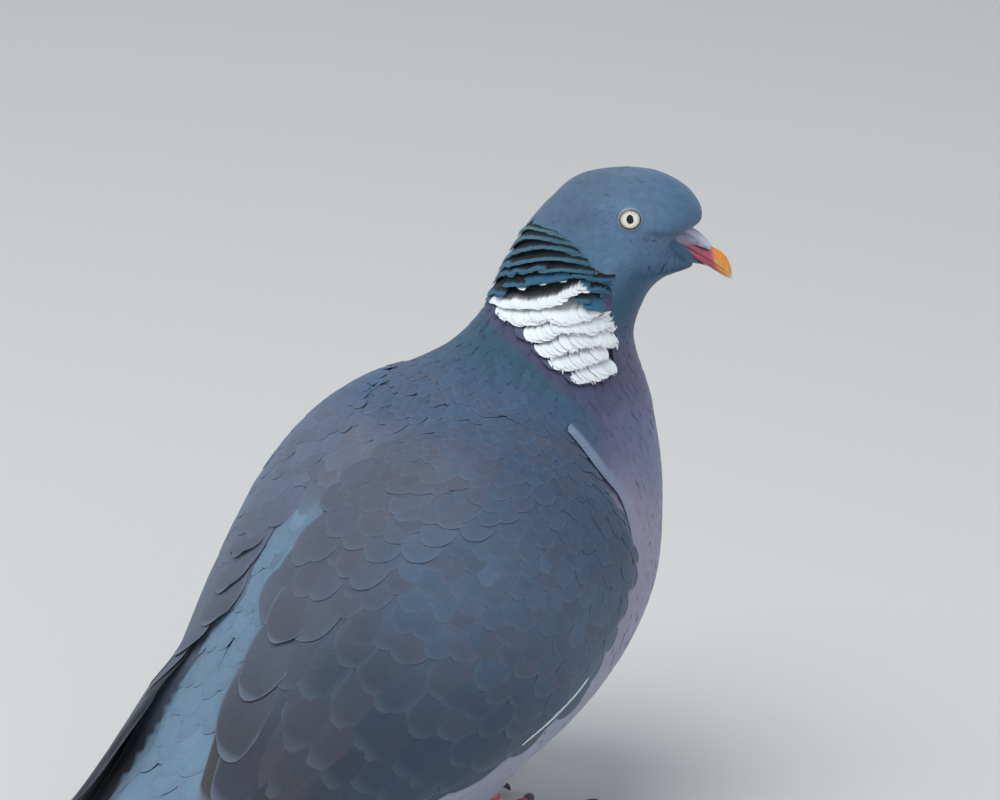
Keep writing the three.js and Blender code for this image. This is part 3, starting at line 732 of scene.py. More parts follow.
# The forehead and throat colours are the feathers' blue-grey darkened with painted shade, for the front and
# underside of the head, which get less light.
CROWN, FOREHEAD_IN_SHADE = linear(85, 111, 137), linear(78, 111, 141)
CHEEK, THROAT_IN_SHADE = linear(96, 127, 157), linear(54, 87, 114)
# The near-black of the collar's feather bases: their own dark colour together with painted shadow under the
# row above.
NAPE, DARK_BASE_AND_SHADOW, TEAL = linear(74, 114, 132), linear(3, 5, 8), linear(45, 80, 101)
PURPLE, MAUVE, PINK = linear(86, 83, 114), linear(103, 110, 145), linear(155, 148, 171)
BELLY, VENT, WHITE = linear(152, 157, 178), linear(150, 160, 178), linear(242, 248, 252)
MANTLE, SADDLE = linear(63, 86, 114), linear(95, 103, 122)
RUMP, UNDER_TAIL = linear(102, 130, 153), linear(132, 142, 158)
COVERT_FRONT, COVERT_MIDDLE, COVERT_REAR = linear(60, 81, 106), linear(77, 98, 121), linear(51, 67, 85)
SCAPULAR, TERTIAL, PRIMARY = linear(80, 89, 106), linear(51, 58, 71), linear(15, 21, 31)
PALE_FRINGE, BROWN, OLIVE = linear(122, 138, 158), linear(84, 79, 88), linear(62, 61, 62)
TAIL_GREY, TAIL_DARK, TAIL_PALE = linear(92, 104, 120), linear(38, 41, 48), linear(168, 178, 190)


def tint(base, other, weight):
    """A colour moved towards another one, by a weight from 0 to 1."""
    return base + (other - base) * np.asarray(weight)[..., None]


def paint(colour, *layers):
    """Lays colours over each other, each by its own weight."""
    for other, weight in layers:
        colour = tint(colour, other, weight)
    return colour


COLLAR_FOOT_LINE = [[-112, 8.35], [-100, 8.7], [-84, 8.8], [-70, 8.65], [-50, 8.15], [-26, 7.8], [-4, 7.5]]
PATCH_TOP = [[-120, 7.75], [-110, 7.2], [-97, 7.15], [-84, 6.4], [-74, 5.7], [-62, 6.0], [-36, 6.7],
             [-8, 7.35]]
PATCH_FOOT = [[-120, 7.85], *COLLAR_FOOT_LINE]


def white_patch(number, angle):
    """How far inside the white patch of the neck a place is, in section numbers: above 0 is inside."""
    a = -np.abs(angle)
    notch = 0.5 * np.exp(-((number - 8.2) / 0.13) ** 2 - ((a + 108) / 6.0) ** 2)
    inside = np.minimum(number - track(PATCH_TOP, a), track(PATCH_FOOT, a) - number) - notch
    return np.where((a > -120) & (a < -2), inside, -1.0)


def lore_shade(number, angle):
    """How much painted shade darkens the crease that runs below the forehead from the bill towards the eye.
    """
    p = to_head(body.place(number, angle)[0])
    crease = -0.2 + 0.19 * (p[..., 1] + 9)
    dark = ramp(np.abs(p[..., 2] - crease), 1.9, 0.2) * ramp(p[..., 1], -5.5, -12.0)
    return dark * (np.asarray(number) < 7)


def body_colour(number, angle):
    """Colour of head, neck, trunk and tail root, by section number and angle round the body."""
    angle = signed(angle)
    a = np.abs(angle)
    upper = 1 - ramp(a, 66, 92)
    return paint(
        CHEEK,
        (CROWN, ramp(number, 2.6, 1.2)),
        # Painted shade on the back of the crown.
        (CROWN * 0.82, ramp(a, 95, 55) * ramp(number, 4.0, 2.5) * ramp(number, -1.0, 0.6)),
        # Painted shade on the front of the face.
        (FOREHEAD_IN_SHADE, ramp(number, 0.2, 1.0) * ramp(number, 4.6, 3.4) * ramp(a, 105, 145)),
        # Painted shade on the throat.
        (THROAT_IN_SHADE, ramp(number, 3.8, 5.4) * ramp(a, 88, 125)),
        # Painted shade in the crease below the forehead.
        (FOREHEAD_IN_SHADE * 0.62, 0.75 * lore_shade(number, angle)),
        (NAPE, ramp(number, 3.0, 4.6) * ramp(a, 100, 62)),
        (TEAL, ramp(number, 6.0, 7.4) * ramp(a, 150, 95)),
        (PURPLE, ramp(number, 7.2, 8.3) * ramp(a, 74, 98)),
        (PURPLE * 0.7, 0.8 * ramp(white_patch(number - 0.3, angle), -0.22, -0.02) * ramp(number, 7.2, 7.6)),
        (MAUVE, ramp(number, 8.6, 9.4) * ramp(a, 78, 125)),
        (MANTLE, ramp(number, 8.7, 9.6) * (1 - ramp(a, 70, 96))),
        (PINK, ramp(number, 9.4, 10.8) * ramp(a, 74, 104)),
        (BELLY, ramp(number, 11.2, 12.6) * ramp(a, 60, 90)),
        (VENT, ramp(number, 13.4, 14.8) * ramp(a, 60, 90)),
        (SADDLE, ramp(number, 10.3, 11.3) * upper),
        (RUMP, ramp(number, 11.75, 12.3) * upper),
        (UNDER_TAIL, ramp(number, 15.4, 16.4) * ramp(a, 80, 100)))


# Painted light: the left wing, which faces the light, is coloured lighter, most of all in front.
LEFT_WING_PAINTED_LIGHT_FRONT, LEFT_WING_PAINTED_LIGHT_REAR = np.array([1.3, 1.36, 1.4]), np.array([1.08, 1.1, 1.12])


def wing_colour(number, across, side):
    """Colour of a folded wing: slate in front, greyer and browner to the rear and on the scapulars, with
    painted shade low on the rear of the right wing and painted light over the left one.
    """
    c = paint(
        COVERT_FRONT,
        (COVERT_MIDDLE, ramp(number, 10.6, 11.9)),
        (COVERT_REAR, ramp(number, 12.2, 13.6)),
        (SCAPULAR, ramp(across, 0.42, 0.12) * ramp(number, 10.2, 11.4)),
        (TERTIAL, ramp(number, 13.4, 14.6)),
        (MANTLE, ramp(number, 10.9, 10.0) * ramp(across, 0.5, 0.2)))
    if side == "right":
        # Painted shade low on the rear of the right wing, which faces away from the light.
        return tint(c, COVERT_FRONT * 0.8, 0.8 * ramp(number, 11.8, 12.6) * ramp(across, 0.6, 0.85))
    # Painted light over the left wing.
    c = c * lerp(LEFT_WING_PAINTED_LIGHT_FRONT, LEFT_WING_PAINTED_LIGHT_REAR, ramp(number, 11.8, 13.0)[..., None])
    return tint(c, PRIMARY, ramp(number, 14.5, 14.9))


def feathery(colour, shape, fringe=0.0, rim=0.8, shaft=0.0, spread=0.04, dark_tip=0.0, brown=0.0, dusk=0.0):
    """Adds what each feather does to its colour: its own shade, a pale rim and a slightly darker middle.

    brown is how far single feathers may turn brown, dusk how far they darken towards the tip."""
    u, v, each = shape.u, np.abs(shape.v), (len(colour), 1, 1)
    colour = colour * (1 + chance.normal(0, spread, each))[..., None]
    full = np.zeros(colour.shape[:-1])
    edge = full + np.maximum(ramp(v, rim, 1.0) * ramp(u, 0.35, 0.6), ramp(u, lerp(rim, 1, 0.5), 1.0))
    middle = ramp(v, 0.5, 0.0) * ramp(u, 0.2, 0.6) * (1 - edge)
    colour = tint(colour, BROWN, brown * chance.uniform(0, 1, each) ** 2 + full)
    for dark in (shaft * middle, dusk * ramp(u, 0.45, 1.0) + full,
                 dark_tip * ramp(edge, 0.1, 0.4) * (1 - ramp(edge, 0.5, 0.9))):
        colour = colour * (1 - dark)[..., None]
    return tint(colour, PALE_FRINGE, edge * fringe)


# ---- Skin ----

def wing_rise(number, angle):
    """How far the folded wings lift the skin above the body's own surface."""
    share = wing_share(number, angle)
    inside = ramp(share, 0.0, 0.14) * ramp(share, 1.0, 0.88)
    held_off = np.where((angle + 180) % 360 > 180, track(WING_LIFT["left"], number), 0)
    return inside * (1.7 * ramp(number, 9.4, 10.5) * ramp(number, 15.0, 14.2) + 0.85 * held_off)


def coat_depth(number, angle):
    """How deep the feathers are over the skin."""
    deep = lerp(0.28, 0.42, ramp(number, 1.5, 4.0))
    deep = lerp(deep, 0.6, ramp(number, 5.5, 8.5))
    deep = lerp(deep, 1.0, ramp(number, 9.0, 11.0))
    return lerp(deep, 1.4, ramp(number, 14.5, 16.0)) + 1.9 * in_collar(number, angle, 0.1)


SKIN_END, SKIN_ROWS, SKIN_COLUMNS = 17.2, 260, 150


def make_skin():
    """One closed skin from the crown to the root of the tail."""
    number = np.linspace(SURFACE_START, SKIN_END, SKIN_ROWS)[:, None] * np.ones((1, SKIN_COLUMNS))
    angle = np.linspace(-180, 180, SKIN_COLUMNS, endpoint=False)[None, :] + 0 * number
    points, normals = body.place(number, angle)
    rise = blur(wing_rise(number, angle), 2) - blur(coat_depth(number, angle), 6)
    points, faces = closed_tube(sink_sockets(points + normals * rise[..., None]))
    colours = body_colour(number, angle)
    for side, sign in SIDES.items():
        share = np.where(angle * sign > 0, wing_share(number, angle), -1.0)
        colours = tint(colours, wing_colour(number, share, side), (share > 0.02) & (share < 0.97))
    colours = colours.reshape(-1, 3) * 0.92
    unwrap = np.stack([angle / 360 + 0.5, number / SKIN_END], -1).reshape(-1, 2)
    return (points, faces, np.concatenate([colours, colours[:1], colours[-1:]]),
            np.concatenate([unwrap, [[0.5, 0.0], [0.5, 1.0]]]))


def to_head(points):
    """Places from the head's centre, before it rolled and turned."""
    x, y, z = np.moveaxis(points - head_centre, -1, 0)
    x, y = x * np.cos(HEAD_TURN) - y * np.sin(HEAD_TURN), x * np.sin(HEAD_TURN) + y * np.cos(HEAD_TURN)
    x, z = x * np.cos(HEAD_ROLL) - z * np.sin(HEAD_ROLL), x * np.sin(HEAD_ROLL) + z * np.cos(HEAD_ROLL)
    return np.stack([x, y, z], -1)


def from_head(points):
    """The reverse of to_head: the head's own places, rolled and turned with it."""
    return turn_with_head(np.asarray(points, float) + (0, 0, HEAD_Z), 1.0) + SHIFT


def turned(directions):
    """Directions, rolled and turned with the head."""
    return from_head(directions) - from_head(np.zeros(3))


def eye_distance(local, side=8):
    """How far places on the head are from an eye's axis, and 99 for those nearer the middle than side."""
    near = np.hypot(local[..., 1] - EYE_Y, local[..., 2] - EYE_Z)
    return np.where(np.abs(local[..., 0]) > side, near, 99.0)


def sink_sockets(points):
    """Presses the skin in behind each eye."""
    local = to_head(points)
    local[..., 0] -= np.sign(local[..., 0]) * 4.5 * ramp(eye_distance(local, 7), 5.2, 3.6)
    return from_head(local)


# ---- Small feathers of the head, laid by their flow over the surface ----

BILL_BASE = np.array([0.0, -19.0, -5.0])
HEAD_ROWS = 240                                # the body's rows that make up the head and the upper neck
head_tree = BVHTree.FromPolygons(body.points[:HEAD_ROWS, :-1].reshape(-1, 3).tolist(),
                                 grid_faces(HEAD_ROWS, body.columns - 1, wrap=True).tolist())


def onto_head(points):
    """Nearest places on the head's surface, their normals and their chart numbers and angles."""
    found = [head_tree.find_nearest(p) for p in points.tolist()]
    places, cells = np.array([f[0][:] for f in found]), np.array([f[2] for f in found])
    columns = body.columns - 1
    r, c = cells // columns, cells % columns
    r1, c1 = np.minimum(r + 1, HEAD_ROWS - 1), (c + 1) % columns
    normals = unit(body.normals[r, c] + body.normals[r1, c] + body.normals[r, c1] + body.normals[r1, c1])
    number = body.first + r / (body.rows - 1) * (body.last - body.first)
    return places, normals, unit(body.down[r, c]), number, c / columns * 360 - 180


def head_flow(points, normals, along, number):
    """The lie of the feathers: back from the bill over the head, then down the neck."""
    local = to_head(points)
    away, down = unit(local - BILL_BASE), unit(np.array([0, 0.45, -1]))
    turn = ramp(local[:, 1], -8, 18) * ramp(local[:, 2], 22, 6)
    flow = unit(turned(lerp(away, down, turn[:, None])))
    flow = lerp(flow, along, ramp(number, 4.4, 6.2)[:, None])
    return unit(flow - normals * (flow * normals).sum(-1, keepdims=True))


def walk_head(points, length, half, shape, drift):
    """Lays blades over the head from their roots, along its flow and with each one's drift off it."""
    base, out = blade_grids(len(points), shape)
    spot = np.zeros((len(points), shape.u.size, 2))
    flow, before = 0 * points, 0.0
    for k, here, w, s in vane_steps(shape, half):
        points = points + flow * ((here - before) * length)[:, None]
        before = here
        points, normals, along, number, angle = onto_head(points)
        flow = head_flow(points, normals, along, number)
        flow = unit(flow + np.cross(normals, flow) * drift[:, None])
        side = np.cross(flow, normals)
        base[:, k] = (points[:, None] + side[:, None] * w[..., None] + flow[:, None] * s[..., None]
                      - normals[:, None] * (w ** 2 / 30)[..., None])
        out[:, k] = unit(normals[:, None] + side[:, None] * (w / 15)[..., None])
        spot[:, k] = np.stack([number, angle], -1)
    return base, out, spot


HEAD_TUFTS_END = 7.3
ROOT_CLEARANCE, LID_CLEARANCE = 4.1, 3.85      # how near an eye's axis tufts may start, and may reach


def head_keep(number, angle, points):
    """False inside the bill's root and the eyes, and on the grooved side of the neck."""
    p = to_head(points)
    bill = (p[:, 1] < -16) & (np.abs(p[:, 0]) < bill_half(p[:, 1]) + 0.5)
    bill &= (p[:, 2] < bill_top(p[:, 1]) + 0.4) & (p[:, 2] > bill_bottom(p[:, 1]) - 0.4)
    return ~bill & (eye_distance(p) >= ROOT_CLEARANCE) & ~in_collar(number, angle, 0.35)


def tuft_reach(number, angle):
    """The spacing of the head's tufts: closest round the bill and the eyes."""
    local = to_head(body.place(number, angle)[0])
    face = np.linalg.norm(local - BILL_BASE, axis=-1)
    reach = 0.78 + 0.42 * ramp(face, 6, 26) + 0.3 * ramp(number, 5, 7)
    return reach * lerp(0.55, 1.0, ramp(eye_distance(local), 4.5, 8.5))


def add_head_tufts(coat):
    """Small tufts over head and throat. Those that reach an eye are halved, or left out if that won't do."""
    number, angle = sow(body, 0.03, HEAD_TUFTS_END, 90000, tuft_reach, head_keep)
    points, _ = body.place(number, angle)
    space, count = tuft_reach(number, angle), len(number)
    shape = vane_shape(4, 2, tip=0.55, arc=0.7)
    length = space * chance.uniform(3.2, 4.2, count)
    half = space * chance.uniform(0.85, 1.1, count)
    drift = chance.normal(0, 0.10, count)

    def clear():
        base = walk_head(points, length, half, shape, drift)[0]
        return eye_distance(to_head(base)).min(axis=(1, 2)) > LID_CLEARANCE

    length = np.where(clear(), length, 0.5 * length)
    kept = clear()
    number, angle, points, length, half, drift = (
        x[kept] for x in (number, angle, points, length, half, drift))
    count = len(number)
    base, out, spot = walk_head(points, length, half, shape, drift)
    by_eye = ramp(eye_distance(to_head(base[:, -1, 1])), 6.5, 4.8)
    lift = chance.normal(0, 0.012, count) - 0.13 * by_eye
    blades = raise_blades(base, out, shape, half, sink=0.20, lift=lift, thick=0.05, soft=0.95, cup=0.06,
                          roll=chance.normal(0, 0.012, count), dip=0.05, bow=1.6)
    tone = body_colour(spot[..., 0], spot[..., 1])[:, :, None, :] * np.ones((1, 1, shape.v.size, 1))
    coat.add(*blades, feathery(tone, shape, spread=0.045), neck_roots(number, angle), shape)


def neck_roots(number, angle):
    """Places on the bake map of the head's and the collar's feathers."""
    return np.stack([angle / 360 + 0.5, number / TAIL_ROOT], -1)


def add_chin_tufts(coat):
    """Small feathers that reach forward along the underside of the bill."""
    count = 380
    y = lerp(-14.0, -24.5, chance.uniform(0, 1, count))
    around = chance.uniform(-1.45, 1.45, count)
    order = np.argsort(-y)
    y, around = y[order], around[order][:, None]
    shape = vane_shape(5, 4, root=0.7, tip=0.4, arc=0.3)
    length, half = chance.uniform(3.2, 4.4, count), chance.uniform(0.9, 1.2, count)
    base, out = blade_grids(count, shape)
    for k, here in enumerate(shape.u.ravel()):
        at = y - here * length * 0.92
        turn = around * ramp(at, -29.5, -20.0)[:, None]
        turn = turn + (half * shape.wide[k] / bill_half(at))[:, None] * shape.v[0]
        outward = np.stack([np.sin(turn), 0 * turn, -np.cos(turn)], -1)
        full = ramp(at, -29.0, -20.0)
        half_wide = bill_half(at) * 0.95 + 0.15 + 0.3 * full
        tall = along_y(BILL_MOUTH, at) - bill_bottom(at) + 0.25 + 1.9 * full
        lower = along_y(BILL_MOUTH, at)[:, None] + tall[:, None] * outward[..., 2]
        place = np.stack([half_wide[:, None] * np.sin(turn), at[:, None] + 0 * turn, lower], -1)
        base[:, k], out[:, k] = from_head(place), turned(outward)
    blades = raise_blades(base, out, shape, half, sink=0.3, lift=0.08, thick=0.06, soft=0.9, cup=0.03,
                          dip=0.1)
    # The chin's tufts carry the throat's painted shade, lightened towards the cheek.
    tone = feathery(tint(THROAT_IN_SHADE, CHEEK, 0.35) * np.ones((*base.shape[:3], 1)), shape, spread=0.05)
    roots = [start + 0.02 * chance.uniform(0, 1, count) for start in (0.97, 0.02)]
    coat.add(*blades, tone, np.stack(roots, -1), shape)


# ---- Collar: raised rows of narrow feathers round the nape, and the white patch ----

COLLAR_ROWS = 13
COLLAR_TOP = [[-120, 7.9], [-110, 7.1], [-101, 6.4], [-93, 5.7], [-83, 4.9], [-72, 4.3], [-60, 3.75],
              [-44, 3.2], [-29, 2.95], [-10, 2.95], [10, 3.2], [20, 3.9]]
COLLAR_FOOT = [[-120, 8.0], *COLLAR_FOOT_LINE, [20, 7.3]]
COLLAR_LOW, COLLAR_HIGH = -120, 16


def in_collar(number, angle, margin):
    """Whether a place lies in the collar and this far in from its edges, or out by a margin below 0."""
    angle = signed(angle)
    inside = (angle > COLLAR_LOW) & (angle < COLLAR_HIGH) & (number > track(COLLAR_TOP, angle) - margin)
    return inside & (number < track(COLLAR_FOOT, angle) - margin)


def collar_height(row, angle):
    """Height of a row's free edge from the head's centre. The rows arch over the side of the neck."""
    upper = min(row, 7)
    peak = 2.8 - 1.6 * upper - 0.13 * upper ** 2
    at = -25.0 - 8.0 * upper
    fall = min(5.4, 7.6 - 0.6 * upper)
    power = 2.3 - 0.25 * upper
    if row > 7:
        peak, at, fall, power = -20.4 - 4.2 * (row - 8), -97.0, 1.3, 0.9
    behind = np.sqrt(np.maximum(angle - at, 0) ** 2 + 25.0) - 5.0
    return peak - fall * (behind / 40.0) ** power - 0.003 * np.maximum(at - angle, 0) ** 2


def number_at_height(angle, height):
    """The section number where the neck's surface has this height from the head's centre."""
    numbers = np.linspace(2.2, 9.6, 260)
    found = []
    for a, h in zip(angle, height):
        rise = body.place(numbers, np.full(len(numbers), a))[0][:, 2] - head_centre[2]
        found.append(np.interp(-h, -rise, numbers))
    return np.array(found)


def root_before(chart, number, angle, aim, length, steps=5):
    """Where a blade of this length starts, if its tip is to lie at a place."""
    for _ in range(steps):
        down, across = chart.scales(number, angle)
        number = number - length / steps * np.cos(aim) / down
        angle = angle - length / steps * np.sin(aim) / across
    return number, angle


def row_angles(row, spacing):
    """Where the feathers of a row stand round the neck."""
    angle = []
    a = COLLAR_HIGH + chance.uniform(0, 3)
    while a > COLLAR_LOW:
        angle.append(a)
        across = np.linalg.norm(body.read(body.across, 5.0 + row * 0.3, a))
        a -= spacing * chance.uniform(0.85, 1.15) / across
    return np.array(angle)


RIDGES = 8
RIDGE_ROW = dict(spacing=0.6, halves=(1.3, 1.6), uneven=0.06)
# The ridges' iridescent teal, made lighter as a painted highlight of the sky on their upturned edges.
RIDGE_TEAL_AND_HIGHLIGHT = TEAL * [1.2, 1.62, 1.72]
RIDGE_SHAPE = vane_shape(8, 2, root=0.7, tip=0.8, arc=0.15)
LOBE_SHAPE = vane_shape(8, 6, root=0.7, tip=0.5, arc=0.2, shoulder=0.6)
STRAND_SHAPE = vane_shape(7, 2, root=0.7, tip=0.12, arc=0.3)


def add_collar(coat):
    """Ridges, near-black at their bases from dark feathers and painted shadow, with teal edges lightened by a
    painted highlight; then the white patch: broad soft lobes with painted grey shade between them, and loose
    strands over them.
    """
    for row in range(COLLAR_ROWS):
        if row < RIDGES:
            add_collar_row(coat, row, RIDGE_SHAPE, **RIDGE_ROW)
        else:
            add_collar_row(coat, row, LOBE_SHAPE, spacing=1.4, halves=(2.2, 3.2), uneven=0.25)
            add_collar_row(coat, row, STRAND_SHAPE, spacing=0.34, halves=(0.2, 0.4), uneven=0.35, beyond=0.35)
        if row == RIDGES - 1:
            add_collar_row(coat, row + 0.5, RIDGE_SHAPE, **RIDGE_ROW, limit=-81)


def add_collar_row(coat, row, shape, spacing, halves, uneven, beyond=0.0, limit=COLLAR_HIGH + 10):
    """One row, on the angles below a limit. halves is the range of half widths, uneven how far tips stray
    from the row's line, and beyond how far they reach past it.

    The row numbered between two is short, and tapers towards the nape."""
    ridge, short = row < RIDGES, row % 1 > 0
    angle = row_angles(row, spacing)
    lobes = 2.3 * ramp(angle, -93, -82) * short if ridge else 0.55 * np.sin(angle / 6.5 + 2.1 * row)
    height = collar_height(row, angle) - beyond + lobes + chance.normal(0, uneven, len(angle))
    number = number_at_height(angle, height)
    top, patch = track(COLLAR_TOP, angle), white_patch(number - 0.05, angle)
    keep = (number > top - 0.05) & (number < track(COLLAR_FOOT, angle) + 0.2) & (ridge | (patch > -0.10))
    keep &= angle < limit
    angle, number, top, patch = (x[keep] for x in (angle, number, top, patch))
    count = len(angle)
    if not count:
        return
    white = (patch > -0.02) & (not short)
    raised = ramp(angle, -114, -88) * ramp(number - top, -0.1, 0.5) * lerp(0.5, 1.0, ramp(angle, 12, -25))
    lift = 0.05 + 1.35 * raised * (np.where(white, 0.62, 0.85) if ridge else 0.45) + 0.12 * (beyond > 0)
    length = chance.uniform(7.3, 7.7, count) + (0.0 if ridge else chance.uniform(-0.5, 1.0, count))
    half = chance.uniform(*halves, count)
    outward = ramp(angle, -78, -35) * 0.55 - ramp(angle, -95, -112) * 0.5
    aim = chance.normal(0, 1, count) * np.where(white, 0.10, 0.02) + outward * (not ridge)
    start, a = root_before(body, number, angle, aim, length)
    base, out, spot = walk_chart(body, start, a, aim, length, half, shape)
    tip, turn = np.moveaxis(spot[:, -1, spot.shape[2] // 2], -1, 0)
    inside = (tip > track(COLLAR_TOP, turn) - 0.2) & (tip < track(COLLAR_FOOT, turn) + 0.5)
    if not inside.any():
        return
    base, out, spot, angle, number, white, lift, half, start, a = (
        x[inside] for x in (base, out, spot, angle, number, white, lift, half, start, a))
    count, u = len(angle), shape.u
    soft = np.where(white, 0.9, 0.7)[:, None, None, None]
    blades = raise_blades(base, out, shape, half, sink=2.4, lift=lift, thick=0.14, soft=soft, cup=0.02,
                          roll=0.02 + chance.normal(0, 0.012, count))
    # Painted shadow: how far each feather is darkened from its base towards the near-black, where it lies
    # under the row above; its own base is dark too. In the white rows this gives a painted grey shade between
    # the lobes.
    deep = ramp(u, 0.94, 0.83) if ridge else ramp(u, 0.66, 0.45)
    if short:
        deep = np.maximum(ramp(u, 0.6, 0.4), ramp(angle, -90, -83)[:, None, None] * ramp(u, 0.94, 0.86))
    deep = np.where(white[:, None, None], ramp(u, 0.67, 0.55) if ridge else 0.5 * ramp(u, 0.6, 0.4), deep)
    purple = ramp(angle, -92, -108) if ridge else np.full(count, 0.8)
    blue = paint(NAPE, (RIDGE_TEAL_AND_HIGHLIGHT, ramp(number, 3.0, 6.5)), (PURPLE * 0.8, purple))
    tone = feathery(blue[:, None, None, :] + np.zeros((*spot.shape[:3], 3)), shape)
    pale = white[:, None, None] & (white_patch(spot[..., 0], spot[..., 1]) > -0.12)
    tone = np.where(pale[..., None], WHITE * chance.uniform(0.95, 1.0, (count, 1, 1, 1)), tone)
    # Painted shadow and shade: the bases go near-black in the ridges, and grey in the white rows below the
    # first.
    shade = np.where(white & (row > RIDGES), 0.85, 0.97)[:, None, None] * deep + np.zeros(pale.shape)
    coat.add(*blades, tint(tone, DARK_BASE_AND_SHADOW, shade), neck_roots(start, a), shape)


# ---- Contour feathers of the neck and body ----

def wing_share(number, angle):
    """How far across the folded wing a place on the body lies: 0 at its inner edge, 1 at its lower one."""
    angle = signed(angle)
    share = np.full(np.shape(angle), -1.0)
    for side, sign in SIDES.items():
        inner, lower = wing_angle(side, number, 0), track(WING_LOWER_EDGE, number)
        share = np.where(angle * sign > 0, (angle * sign - inner) / (lower - inner), share)
    return np.where((number > WING_START + 0.2) & (number < WING_END), share, -1.0)


def add_contour(coat, first, last, tries, spacing, keep, shape, long, wide, colour, form, **looks):
    """Body feathers between two section numbers. spacing: its first and last value, and where those hold.

    keep says by number, angle and share of the wing which places count."""
    def space(number, angle):
        return lerp(spacing[0], spacing[1], ramp(number, *spacing[2:]))

    def count_in(number, angle, points):
        return keep(number, signed(angle), wing_share(number, angle))

    number, angle = sow(body, first, last, tries, space, count_in)
    count, scale = len(number), space(number, angle)
    length = scale * long * chance.uniform(0.88, 1.12, count)
    half = scale * wide * chance.uniform(0.9, 1.1, count)
    aim = chance.normal(0, 0.08, count)
    form = {**form, "lift": form["lift"] + chance.normal(0, 0.03, count), "waver": 0.04}
    lay(coat, body, number, angle, aim, length, half, shape, colour, form, **looks)


def neck_colour(number, angle):
    """Whole feathers take the white patch, by the middle of each one."""
    tone = body_colour(number, angle)
    middle = (slice(None), slice(-3, -2), slice(1, 2))
    white = white_patch(number[middle], angle[middle]) > 0
    return np.where(white[..., None], WHITE, tone)


def add_neck(coat):
    add_contour(coat, 6.7, 9.7, 60000, (1.3, 2.2, 6.4, 9.6),
                lambda n, a, share: ~in_collar(n + 0.12, a, 0.05),
                vane_shape(4, 2), 4.0, 1.0, neck_colour,
                dict(sink=0.5, lift=0.02, thick=0.07, soft=0.93, cup=0.12, dip=0.16), spread=0.07)


def add_breast(coat):
    add_contour(coat, 9.3, 13.2, 60000, (2.1, 3.2, 9.4, 12.0),
                lambda n, a, share: (share > 0.9) | ((share < 0) & (np.abs(a) > 80)),
                vane_shape(4, 2, tip=0.55, arc=0.8), 3.9, 1.05, body_colour,
                dict(sink=0.55, lift=0.0, thick=0.07, soft=0.97, cup=0.10, dip=0.2), spread=0.025)


def add_belly(coat):
    add_contour(coat, 12.9, 18.4, 40000, (3.4, 4.4, 13.0, 15.5),
                lambda n, a, share: (np.abs(a) > 78) & ((share > 0.85) | (share < 0)),
                vane_shape(5, 2, tip=0.55, arc=0.8), 3.8, 1.0, body_colour,
                dict(sink=0.6, lift=0.0, thick=0.09, soft=0.95, cup=0.08, dip=0.25), spread=0.025)


BEND = [[-66, 9.62], [-70, 9.72], [-80, 10.05], [-94, 10.35], [-103, 10.85], [-108, 11.5], [-110, 12.2]]
BEND_PALE = linear(122, 140, 165)


def add_bend(coat):
    """The breast feathers that roll over the front edge of each wing."""
    shape = vane_shape(8, 4, tip=0.6, arc=0.5)
    angle = np.linspace(-70, -109.5, 64)
    number = track([[-a, n] for a, n in BEND], -angle)
    high, count = ramp(angle, -105, -78), len(angle)

    def colour(number, angle):
        edge = ramp(shape.u, 0.42, 0.66) * (0.25 + 0.65 * high)[:, None, None] + 0 * shape.v
        return tint(body_colour(number, angle), BEND_PALE, edge)

    for sign in SIDES.values():
        length = 9.0 + chance.normal(0, 0.6, count)
        aim = (0.75 + chance.normal(0, 0.05, count)) * -sign
        start, a = root_before(body, number, -angle * sign, aim, length)
        lay(coat, body, start, a, aim, length, np.full(count, 1.9), shape, colour,
            dict(sink=0.5, lift=0.4 + 1.3 * high, thick=0.2, soft=0.6, cup=0.04, waver=0.03, dip=0.3),
            spread=0.02)


def add_mantle(coat):
    """Scale-like feathers of the upper back, from the neck to the V between the wings."""
    add_contour(coat, 9.3, 12.3, 40000, (2.2, 5.6, 9.2, 11.8),
                lambda n, a, share: (share < lerp(0.26, 0.12, ramp(n, 10.2, 11.2))) & (np.abs(a) < 84),
                vane_shape(7, 6, tip=0.42, arc=0.2, shoulder=0.5), 3.3, 0.92, body_colour,
                dict(sink=0.7, lift=0.06, thick=0.06, soft=0.92, cup=0.035, dip=0.14, bow=1.7),
                fringe=0.24, rim=0.72, spread=0.045, shaft=0.03, dark_tip=0.05, brown=0.35)


def add_rump(coat):
    """Large smooth feathers of the rump and over the root of the tail."""
    add_contour(coat, 11.9, 18.0, 22000, (4.5, 8.0, 12.5, 16.5),
                lambda n, a, share: (np.abs(a) < 84) & ((share < 0.3) | (n > 15)),
                vane_shape(8, 6, arc=0.25, shoulder=0.5), 3.3, 0.95, body_colour,
                dict(sink=0.8, lift=0.12, thick=0.06, soft=0.90, cup=0.035, dip=0.14, bow=1.6),
                fringe=0.22, rim=0.68, spread=0.04, dark_tip=0.14)


# ---- Wings ----

def quincunx(chart, first, last, pitch, spacing, low, high):
    """Roots in staggered rows, and the width each has to fill. pitch and the rest depend on the number."""
    rows, number = [], first
    while number < last:
        start, end, odd = low(number), high(number), len(rows) % 2
        length = gaps(chart.place(np.full(24, number), np.linspace(start, end, 24))[0]).sum()
        count = max(int(round(length / spacing(number))), 1)
        place = (np.arange(count + odd) + (0.0 if odd else 0.5)) / count
        rows.append(np.stack([0 * place + number, lerp(start, end, place), 0 * place + length / count]))
        number += pitch(number) / float(np.linalg.norm(chart.read(chart.down, number, (start + end) / 2)))
    return np.concatenate(rows, 1)


def lay_on_wing(coat, side, number, across, aim, length, half, shape, colour, patches, form, **looks):
    """lay() on a folded wing. patches: how many times a tuft's patch on the bake map each feather takes."""
    lay(coat, wings[side], number, across, aim, length, half, shape, lambda n, a: colour(n, a, side),
        {"waver": 0.02, **form}, TUFT_PATCH * patches, **looks)


